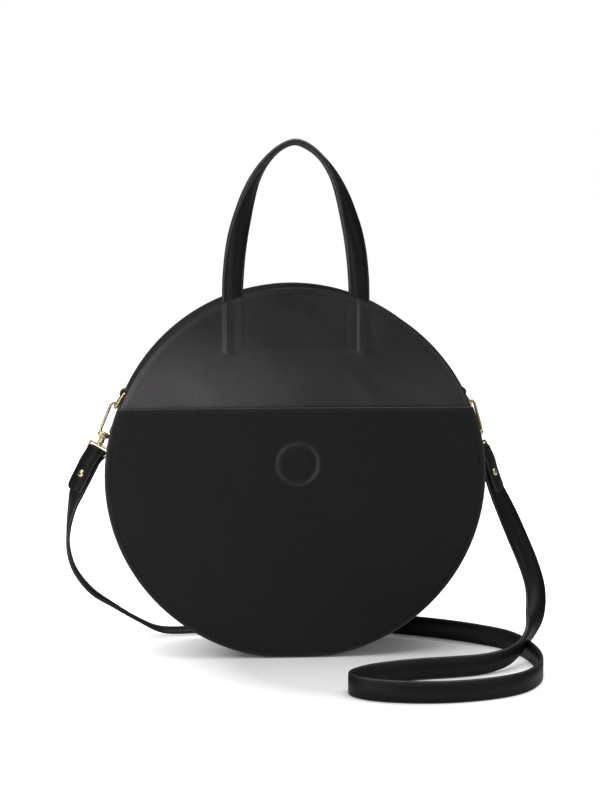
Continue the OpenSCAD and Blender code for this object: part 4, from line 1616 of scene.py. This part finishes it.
@dataclass
class Handle(SubAssembly):
    """The carry handle: one flat strap that faces forward at its legs and turns edge-on over the top."""

    half_span: float = 46.0
    rise: float = 106.5
    depth: float = -27.8
    pivot: float = 272.473
    feet: tuple[float, ...] = (226.0, 240.0, 256.0)
    lean: float = 10.0
    width: float = 15.5
    thickness: float = 4.4
    # Shares of the half span and of the rise, and shares of the quarter turn, from the pivot to the top.
    shares: tuple = ((1, 0), (0.985, 0.12), (0.955, 0.25), (0.905, 0.38), (0.83, 0.51), (0.74, 0.64),
                     (0.625, 0.76), (0.46, 0.87), (0.24, 0.96), (0, 1))
    turns: tuple = (0, 0.02, 0.1, 0.24, 0.42, 0.6, 0.78, 0.92, 0.99, 1)

    def build(self) -> Piece:
        """Builds the handle with its ends inside the front.

        Returns:
            The handle.
        """
        left = [(-self.half_span, z - self.pivot, 0.0) for z in self.feet]
        left += [(-x * self.half_span, z * self.rise, turn * 90) for (x, z), turn in zip(self.shares, self.turns)]
        x, z, turn = catmull(left + [(-x, z, 180 - turn) for x, z, turn in left[-2::-1]], 7).T
        lean = self.lean * (np.maximum(z, 0) / self.rise) ** 2
        side = np.cross(BACKWARD, headings(together(x, 0.0, self.pivot + z)))
        turn = np.radians(turn)[:, None]
        across = side * np.cos(turn) + np.array(BACKWARD) * np.sin(turn)
        section, edges = strap_section(self.width, self.thickness, 0.9, 5)
        line = together(x, self.depth + lean, self.pivot + z)
        piece = sweep("handle_strap", line, across, section, self.strap, edges)
        return declare(piece, "black_leather", Bend.HANDLE, "handle", "handle_ends")


@dataclass
class SideHardware(SubAssembly):
    """One side's leather tab, ring, clasp with its gate, and swivel eye, drawn on the right and mirrored."""

    side: Side
    lean: float
    eye_turn: float
    wire: float = 3.0
    ring_width: float = 14.0
    ring_drop: float = 12.0
    ring_lean: float = 35.0
    ring_corner: float = 0.7
    bar_radius: float = 139.2
    below: float = 18.5
    tab_width: float = 11.0
    tab_thick: float = 1.9
    tab_gap: float = 0.12
    tab_tip: tuple[float, ...] = (0.72, 0.9, 0.98)
    tab_seam: float = 3.9
    clasp_length: float = 37.0
    inside: float = 2.6
    wall: float = 2.2
    hook_gap: float = 0.3
    knob_out: float = 0.6
    knob_height: float = -15.5
    shank: tuple[float, ...] = (-4.0, -8.0, -12.0, -16.0, -19.0)
    barrel_oval: tuple[float, float] = (1.08, 0.68)
    eye_half: float = 8.05
    eye_wire: float = 0.95
    eye_top: float = -30.95
    # Radius and height of each turned part, and height and size of each place on the gate.
    barrel: Places = ((0.0, -20.6), (2.2, -20.7), (3.4, -21.3), (4.2, -22.3), (4.3, -23.2), (3.8, -24.2),
                      (3.0, -24.9), (2.4, -25.3), (2.1, -25.6), (2.1, -28.8), (1.8, -29.4), (0.0, -29.5))
    knob: Places = ((0.0, 0.0), (1.15, 0.05), (1.5, 0.5), (1.5, 0.9), (1.0, 1.3), (0.0, 1.4))
    collar: Places = ((0.0, -29.85), (2.1, -29.9), (2.5, -30.3), (2.5, -31.2), (2.0, -31.9), (0.0, -32.0))
    gate_bar: Places = ((-19.7, 1.0), (-18.0, 1.0), (-12.0, 1.0), (-6.0, 1.0), (-4.3, 0.95), (-3.75, 0.6))

    @property
    def bar_angle(self) -> float:
        """Angle of the ring's bar on the round."""
        return ROUND.slot - math.degrees(math.atan(self.below / self.bar_radius))

    @property
    def bar(self) -> Vector:
        """The middle of the ring's bar, drawn on the right."""
        return Vector(ROUND.arc(self.bar_radius, self.bar_angle))

    @property
    def hang(self) -> Vector:
        """The direction in which the ring hangs, drawn on the right."""
        a = math.radians(self.ring_lean)
        return Vector((math.sin(a), 0, -math.cos(a)))

    @property
    def frame(self) -> Matrix:
        """The clasp's own frame in the ring's bow, drawn on the right: X outward, Z up along the clasp."""
        bow = self.bar + self.hang * self.ring_drop
        return Matrix.Translation(bow) @ Matrix.Rotation(-math.radians(self.lean), 4, "Y")

    @property
    def eye(self) -> Vector:
        """The middle of the swivel eye's lower bar, on this side."""
        spot = self.frame @ Vector((0, 0, -self.clasp_length))
        return Vector((spot.x * self.side.value, spot.y, spot.z))

    def placed(self, name: str, parts: Sequence[Piece], place: Matrix = Matrix.Identity(4)) -> Piece:
        """Joins parts drawn on the right, places them and mirrors them to this side.

        Args:
            name: The piece's name, to which the side is added.
            parts: The parts, whose meshes are in metres.
            place: Their place, in millimetres.

        Returns:
            The piece.
        """
        piece = joined(f"{name}_{self.side.word}", parts, place)
        if self.side is Side.LEFT:
            piece.data.transform(Matrix.Scale(-1, 4, (1, 0, 0)))
            piece.data.flip_normals()
        return piece

    def bent(self, name: str, line: Grid, section: Grid, scale: Grid | float = 1.0, closed: bool = False) -> Piece:
        """Bends a gold wire along a line in the clasp's plane."""
        return sweep(name, line, BACKWARD, section, [self.palette.gold], scale=scale, closed=closed)

    def tab(self) -> Piece:
        """Builds the tab: down the gusset, round the ring's bar and back onto itself, sewn on three sides.

        Returns:
            The tab.
        """
        radius = ROUND.radius - ROUND.gusset + self.tab_thick / 2
        down = ROUND.arc(radius, np.linspace(ROUND.slot, self.bar_angle + 0.6, 14))
        hub = self.wire / 2 + self.tab_gap + 1.0
        turns = math.radians(self.bar_angle) + math.pi + np.linspace(0.1, math.radians(292), 26)
        loop = np.array(self.bar) + hub * together(np.cos(turns), 0.0, np.sin(turns))
        points = np.concatenate([down, loop])
        section, edges = strap_section(self.tab_width, self.tab_thick, 0.8, 3)
        size = np.ones((len(points), 2))
        size[:3, 0] = self.tab_tip
        finishes = [self.palette.leather, self.palette.paint]
        strip = sweep("tab_strip", points, BACKWARD, section, finishes, edges, size)
        top, low, out = radius + self.tab_thick / 2, self.bar_angle + 1.8, self.tab_seam
        angles = np.linspace(ROUND.slot - 0.8, low, 30)
        paths = [(ROUND.arc(top, angles, y), ROUND.out(angles)) for y in (-out, out)]
        paths.append((ROUND.arc(top, low, np.linspace(-out, out, 8)), ROUND.out(low)))
        return self.placed("ring_tab", [strip, TAB_SEAM.sew("seam", self.palette.thread, *paths)])

    def ring(self) -> Piece:
        """Builds the ring: a straight bar, two short sides and a bow with round corners.

        Returns:
            The ring.
        """
        bend, half, corner = self.ring_drop / 2, (self.ring_width + self.wire) / 2, self.ring_corner
        right = [(half * 0.5, 0.0)]
        for r, middle, span in ((corner, corner, np.linspace(-math.pi / 2, 0, 4)),
                                (bend, self.ring_drop - bend, np.linspace(0, math.pi / 2, 9))):
            right += [(half - r + r * math.cos(t), middle + r * math.sin(t)) for t in span]
        loop = [(0.0, 0.0), *right, (0.0, self.ring_drop), *((-y, t) for y, t in reversed(right))]
        points = np.array([self.bar + self.hang * t + Vector((0, y, 0)) for y, t in loop])
        normal = (-self.hang.z, 0, self.hang.x)
        wire = circle(self.wire / 2 - 0.02, 20)
        return self.placed("side_ring", [sweep("wire", points, normal, wire, [self.palette.gold], closed=True)])

    def clasp(self) -> Piece:
        """Builds the clasp's hook, its barrel and its stem.

        Returns:
            The clasp without its gate.
        """
        centre, r = self.wire / 2 + self.hook_gap - self.inside, self.inside + self.wall / 2
        turns = np.linspace(math.pi, 0, 19)
        hook = [(-r, centre - 2.2), (-r, centre - 1.0), *zip(r * np.cos(turns), centre + r * np.sin(turns))]
        hook += [(r, z) for z in self.shank] + [(r - 0.4, -21.4), (r - 1.4, -22.6)]
        size = np.ones((len(hook), 1))
        size[0] = 0.7
        arm = self.bent("arm", upright(hook), circle(1.0, 18) * [self.wall / 2 + 0.12, self.wall / 2], size)
        barrel = lathe("barrel", self.barrel, self.palette.gold, self.barrel_oval)
        return self.placed("clasp_hook", [arm, barrel], self.frame)

    def gate(self) -> Piece:
        """Builds the sprung gate with its thumb knob.

        Returns:
            The gate.
        """
        x = -(self.inside + self.wall / 2)
        points = upright([(x, z) for z, _ in self.gate_bar])
        points[0, 0] += 0.1
        bar = self.bent("bar", points, circle(1.02, 16), np.array([[size] for _, size in self.gate_bar]))
        knob = lathe("knob", self.knob, self.palette.gold)
        turn = Matrix.Rotation(-math.pi / 2, 4, "Y")
        knob.data.transform(scaled(Matrix.Translation((x - self.knob_out, 0, self.knob_height)) @ turn))
        return self.placed("clasp_gate", [bar, knob], self.frame)

    def swivel(self) -> Piece:
        """Builds the swivel: a collar on the stem and the eye that carries the strap.

        Returns:
            The swivel.
        """
        low, high = -self.clasp_length, self.eye_top
        box = rounded_box((2 * (self.eye_half + self.eye_wire), high - low), 2.2, 6, (high + low) / 2)
        eye = self.bent("eye", upright(box), circle(self.eye_wire, 16), closed=True)
        turn = Matrix.Rotation(math.radians(self.eye_turn), 4, "Z")
        return self.placed("swivel_eye", [eye, lathe("collar", self.collar, self.palette.gold)], self.frame @ turn)

    def build(self) -> dict[str, Piece]:
        """Builds this side's hardware.

        Returns:
            The pieces by name.
        """
        pieces = {"tab": self.tab(), "ring": self.ring(), "clasp": self.clasp(), "gate": self.gate(),
                  "swivel": self.swivel()}
        for kind, piece in pieces.items():
            node = f"{kind}_{self.side.word}"
            slot = "black_leather" if kind == "tab" else "pale_gold"
            declare(piece, slot, "shell" if kind in ("tab", "swivel") else node, node)
        return pieces


@dataclass
class Strap(SubAssembly):
    """The shoulder strap, in the pose that the photograph shows, with its folded and riveted ends."""

    width: float = 15.5
    thickness: float = 2.8
    length: float = 1.0461
    rivet: float = 3.0
    eye_wire: float = 0.95
    eye_gap: float = 0.15
    lap_gap: float = 0.3
    lap_size: float = 0.985
    lap_tip: tuple[float, ...] = (0.7, 0.86, 0.95, 0.975)
    steps: int = 6
    # The route from the left eye to the right one, and the way in which the strap's face turns at each place.
    route: tuple = (
        (-149.95, 0, 146.1), (-156.2, -1, 134), (-162, -1, 121.5), (-166, 0, 109), (-169.2, 3, 91), (-169.3, 7, 74),
        (-164.6, 12, 57.5), (-153.4, 19, 41), (-137.5, 26.5, 28), (-119.5, 33.5, 15), (-101, 39.5, 5), (-76, 45, 3),
        (-46, 49.5, 3.4), (-16, 52, 5.2), (16, 51.5, 8), (44, 46.5, 8), (72, 36.5, 8), (98, 24.5, 8), (122, 11, 8),
        (142, -4, 8), (158.5, -21, 8), (167.5, -42, 8), (171.3, -66, 8), (171.2, -90, 8), (166, -113, 8),
        (152, -135, 8), (130, -149, 8), (101, -156.5, 8), (72, -156.5, 8), (46, -149.5, 8), (32.5, -138, 8),
        (32.5, -125.5, 8), (45, -113, 8), (63, -104.5, 8), (84, -98.5, 8), (108, -94.5, 8), (130, -88.5, 8),
        (148, -79, 9.7), (160, -66, 13), (168, -54.5, 18.5), (174, -43, 25), (178.6, -32, 32.5), (181, -22, 41.5),
        (180.8, -14, 51.5), (177, -7, 65.5), (170, -2.5, 83), (162.4, 0, 101), (154.6, 0.6, 118), (148.9, 0.4, 132),
        (145.1, 0, 144.4))
    facing: tuple = (
        (0.82, -0.57, 0), (0.81, -0.59, 0), (0.7, -0.72, 0), (0.35, -0.93, 0), (0.1, -1, 0), (0.05, -1, 0),
        (0.05, -1, 0), (0.05, -1, 0), (0.1, -1, 0.1), (0.2, -1, 0.1), (0.2, -1, 0), (0.1, -1, 0), (0, -1, 0.1),
        (0, -0.9, 0.5), (0, -0.5, 0.9), *((0, 0, 1),) * 21, (0, -0.1, 1), (0, -0.3, 1), (-0.1, -0.6, 0.8),
        (-0.35, -0.8, 0.45), (-0.6, -0.7, 0.2), (-0.9, -0.3, 0.2), (-1, 0, 0.2), (-1, 0.1, 0.2), (-1, 0.1, 0.2),
        (-1, 0, 0), (-0.97, -0.26, 0), (-0.83, -0.56, 0), (-0.67, -0.74, 0), (-0.57, -0.82, 0))

    def __post_init__(self) -> None:
        """Traces the route."""
        self.line = catmull(self.route, self.steps)
        ahead = headings(self.line)
        self.flat = square_to(catmull(self.facing, self.steps), ahead)
        self.through = np.cross(ahead, self.flat)
        self.section, self.edges = strap_section(self.width, self.thickness, 0.85, 5)

    def fold(self, side: Side, eye: Vector) -> Piece:
        """Builds a strap end: round the eye's bar and back along the strap.

        Args:
            side: Which end.
            eye: The middle of the eye's bar.

        Returns:
            The folded end.
        """
        inward = 1 if side is Side.LEFT else -1
        line, through = self.line[::inward], self.through[::inward]
        start, flat = through[0], self.flat[::inward][0]
        down = unit(line[1] - line[0])
        hub = self.eye_wire + self.eye_gap + self.thickness / 2
        tail = (line + through * (self.thickness + self.lap_gap))[2 * self.steps:0:-2]
        turns = np.radians(np.linspace(0, 180, 13))[:, None]
        loop = np.array(eye) + hub * (np.cos(turns) * start - np.sin(turns) * down)
        end = [line[0] - start * 0.9 - down * 1.5, line[0] + down * 2.0, line[2] + down * 0.5]
        points = catmull([*tail, *loop, *end], 3)
        size = np.full((len(points), 2), self.lap_size)
        size[:4, 0] = self.lap_tip
        piece = sweep(f"strap_end_{side.word}", points, flat, self.section, self.strap, self.edges, size)
        return declare(piece, "black_leather", "shell", f"lap_{side.word}")

    def rivet_head(self, side: Side) -> Piece:
        """Builds the rivet: a domed head on the folded end and a flat one behind.

        Args:
            side: Which end.

        Returns:
            The rivet.
        """
        k = self.steps if side is Side.LEFT else -1 - self.steps
        flat, through, r = self.flat[k], self.through[k], self.rivet
        place = Matrix.Translation(self.line[k]) @ Matrix(
            (flat, np.cross(through, flat), through)).transposed().to_4x4()
        top, low = self.thickness * 1.5 + 0.25, -self.thickness / 2
        head = [(0, top - 0.3), (r - 0.1, top - 0.3), (r, top + 0.2), (r - 0.35, top + 0.75), (r - 1.2, top + 1.2),
                (0, top + 1.4)]
        foot = [(0, low - 0.8), (r - 0.8, low - 0.7), (r - 0.4, low - 0.3), (r - 0.4, low + 0.2), (0, low + 0.2)]
        parts = [lathe("part", profile, self.palette.gold) for profile in (head, foot)]
        piece = joined(f"rivet_head_{side.word}", parts, place)
        return declare(piece, "pale_gold", "shell", f"rivet_{side.word}")

    def build(self, hardware: Sequence[SideHardware], carried: Sequence[Piece]) -> list[Piece]:
        """Args:
            hardware: Both sides' hardware.
            carried: The clasps' pieces, which hang on the strap; not used.

        Returns:
            The pieces.
        """
        strap = sweep("shoulder_strap", self.line, self.flat, self.section, self.strap, self.edges)
        declare(strap, "black_leather", "shell", "strap")
        ends = [self.fold(one.side, one.eye) for one in hardware]
        rivets = [self.rivet_head(one.side) for one in hardware]
        return [strap, *ends, *rivets]


# ---------------------------------------------------------------- studio


@dataclass
class Studio:
    """The camera at the photograph's angle, a plain pale floor and soft light. Sizes in metres."""

    eye: tuple[float, float, float] = (-0.0763, -1.2799, 0.335)
    target: tuple[float, float, float] = (0.0027, -0.0322, 0.1922)
    focal_px: float = 1724.67
    height_px: float = 800.0
    sensor_mm: float = 24.0
    floor_half: float = 6.0
    # A painted glow makes the floor shine white to the camera away from the shadow's middle and erases the real shadows
    # there: that middle, and where the glow fades in.
    shadow: tuple[float, float, float] = (0.05, -0.04, 0.0)
    shadow_band: tuple[float, float] = (0.09, 0.2)
    lit: tuple[float, float, float] = (0.0, 0.0, 0.15)
    clip: tuple[float, float] = (0.05, 60.0)
    # Each lamp's name, place, width and height in metres, power in watts, and whether it throws shadows.
    lamps: tuple = (("Key", (-1.3, -0.9, 1.3), (1.0, 1.0), 11, True), ("Top", (0.1, 0.1, 1.9), (2.2, 1.8), 38, True),
                    ("Fill", (1.5, -1.0, 0.8), (0.8, 1.2), 4.5, False),
                    ("Low", (-0.95, -1.1, 0.16), (0.8, 0.3), 5, True))
    ambient: float = 0.1

    def put(self, name: str, data: bpy.types.ID, place: Sequence[float], target: Sequence[float]) -> Piece:
        """Puts a camera or a lamp in its place and turns it toward its target.

        Args:
            name: Its name.
            data: Its data.
            place: Its place.
            target: What it faces.

        Returns:
            The object.
        """
        thing = add_object(name, data)
        thing.location = place
        thing.rotation_euler = (Vector(target) - Vector(place)).to_track_quat("-Z", "Y").to_euler()
        return thing

    def camera(self) -> None:
        """Builds the camera."""
        data = bpy.data.cameras.new("Camera")
        data.sensor_fit = "VERTICAL"
        data.sensor_height = self.sensor_mm
        data.lens = self.focal_px / self.height_px * self.sensor_mm
        data.clip_start, data.clip_end = self.clip
        bpy.context.scene.camera = self.put("Camera", data, self.eye, self.target)

    def floor(self) -> None:
        """Builds the floor of matt white board, which gives the soft shadow and hardly any mirror image, with a painted
        white glow to the camera that keeps the shadow only near the bag.
        """
        s = Surface("Matt white board")
        tone = s.mix(s.noise(90.0, 2.0), "#f2f2f3", "#f7f7f7")
        board = s.add("ShaderNodeBsdfPrincipled", {"Base Color": tone, "Roughness": 0.5, "IOR": 1.3})
        seen = s.add("ShaderNodeLightPath", out="Is Camera Ray")
        # Painted light: the camera sees a white glow that grows with the distance from the shadow's middle.
        away = s.ramp(s.distance(s.place, self.shadow), *self.shadow_band, 0.04, 1.0)
        white = s.add("ShaderNodeEmission", {"Color": WHITE, "Strength": s.maths("MULTIPLY", seen, away)})
        mesh = bpy.data.meshes.new("floor")
        corners = [(x * self.floor_half, y * self.floor_half, 0) for x, y in ((-1, -1), (1, -1), (1, 1), (-1, 1))]
        mesh.from_pydata(corners, [], [(0, 1, 2, 3)])
        mesh.materials.append(s.output(s.add("ShaderNodeAddShader", {0: board, 1: white})))
        add_object("floor", mesh)

    def lamp(self, name: str, place: Sequence[float], size: tuple[float, float], power: float,
             shadow: bool) -> None:
        """Builds one soft lamp that faces the bag.

        Args:
            name: The lamp's name.
            place: Its place.
            size: Its width and height.
            power: Its power in watts.
            shadow: Whether it throws shadows; a bounced fill throws none.
        """
        data = bpy.data.lights.new(name, "AREA")
        data.shape = "RECTANGLE"
        data.size, data.size_y = size
        data.energy = power
        data.use_shadow = shadow
        self.put(name, data, place, self.lit)

    def light(self) -> None:
        """Builds the lamps and the world, which is white to the camera and dim to the bag."""
        for settings in self.lamps:
            self.lamp(*settings)
        world = bpy.context.scene.world = bpy.data.worlds.new("Studio")
        world.use_nodes = True
        tree = world.node_tree
        tree.nodes.clear()
        seen = add_node(tree, "ShaderNodeLightPath", out="Is Camera Ray")
        dim, white = (add_node(tree, "ShaderNodeBackground", {"Color": WHITE, "Strength": s})
                      for s in (self.ambient, 1.0))
        add_node(tree, "ShaderNodeOutputWorld", {"Surface": add_node(tree, "ShaderNodeMixShader",
                                                                     {0: seen, 1: dim, 2: white})})


def dress_kept_nodes(palette: Palette) -> None:
    """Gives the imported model's own rigid pieces their finish.

    Args:
        palette: The bag's finishes.
    """
    for name, finish in (("zip_stops", palette.gold), ("base_board", palette.board)):
        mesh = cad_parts[name].data
        mesh.materials.clear()
        mesh.materials.append(finish)
        log.info("kept %s with %s", name, finish.name)


def main() -> None:
    """Builds the studio and the bag, piece by piece."""
    bpy.context.scene.view_settings.view_transform = "Standard"
    studio = Studio()
    studio.camera()
    palette = Palette()
    hardware = [SideHardware(palette, Side.LEFT, 23.0, 35.0), SideHardware(palette, Side.RIGHT, 16.0, 55.0)]
    fitted = [one.build() for one in hardware]
    carried = [pieces[kind] for pieces in fitted for kind in ("clasp", "gate", "swivel")]
    built = Strap(palette).build(hardware, carried)
    for pieces in fitted:
        built += pieces.values()
    built.append(FrontPanel(palette).build())
    for part in (Pocket, BackPanel, Gusset, Lining, Zip):
        built += part(palette).build()
    built.append(Handle(palette).build())
    for piece in built:
        log.info("%s: %d faces", piece.name, len(piece.data.polygons))
    dress_kept_nodes(palette)
    studio.floor()
    studio.light()


if __name__ == "__main__":
    main()
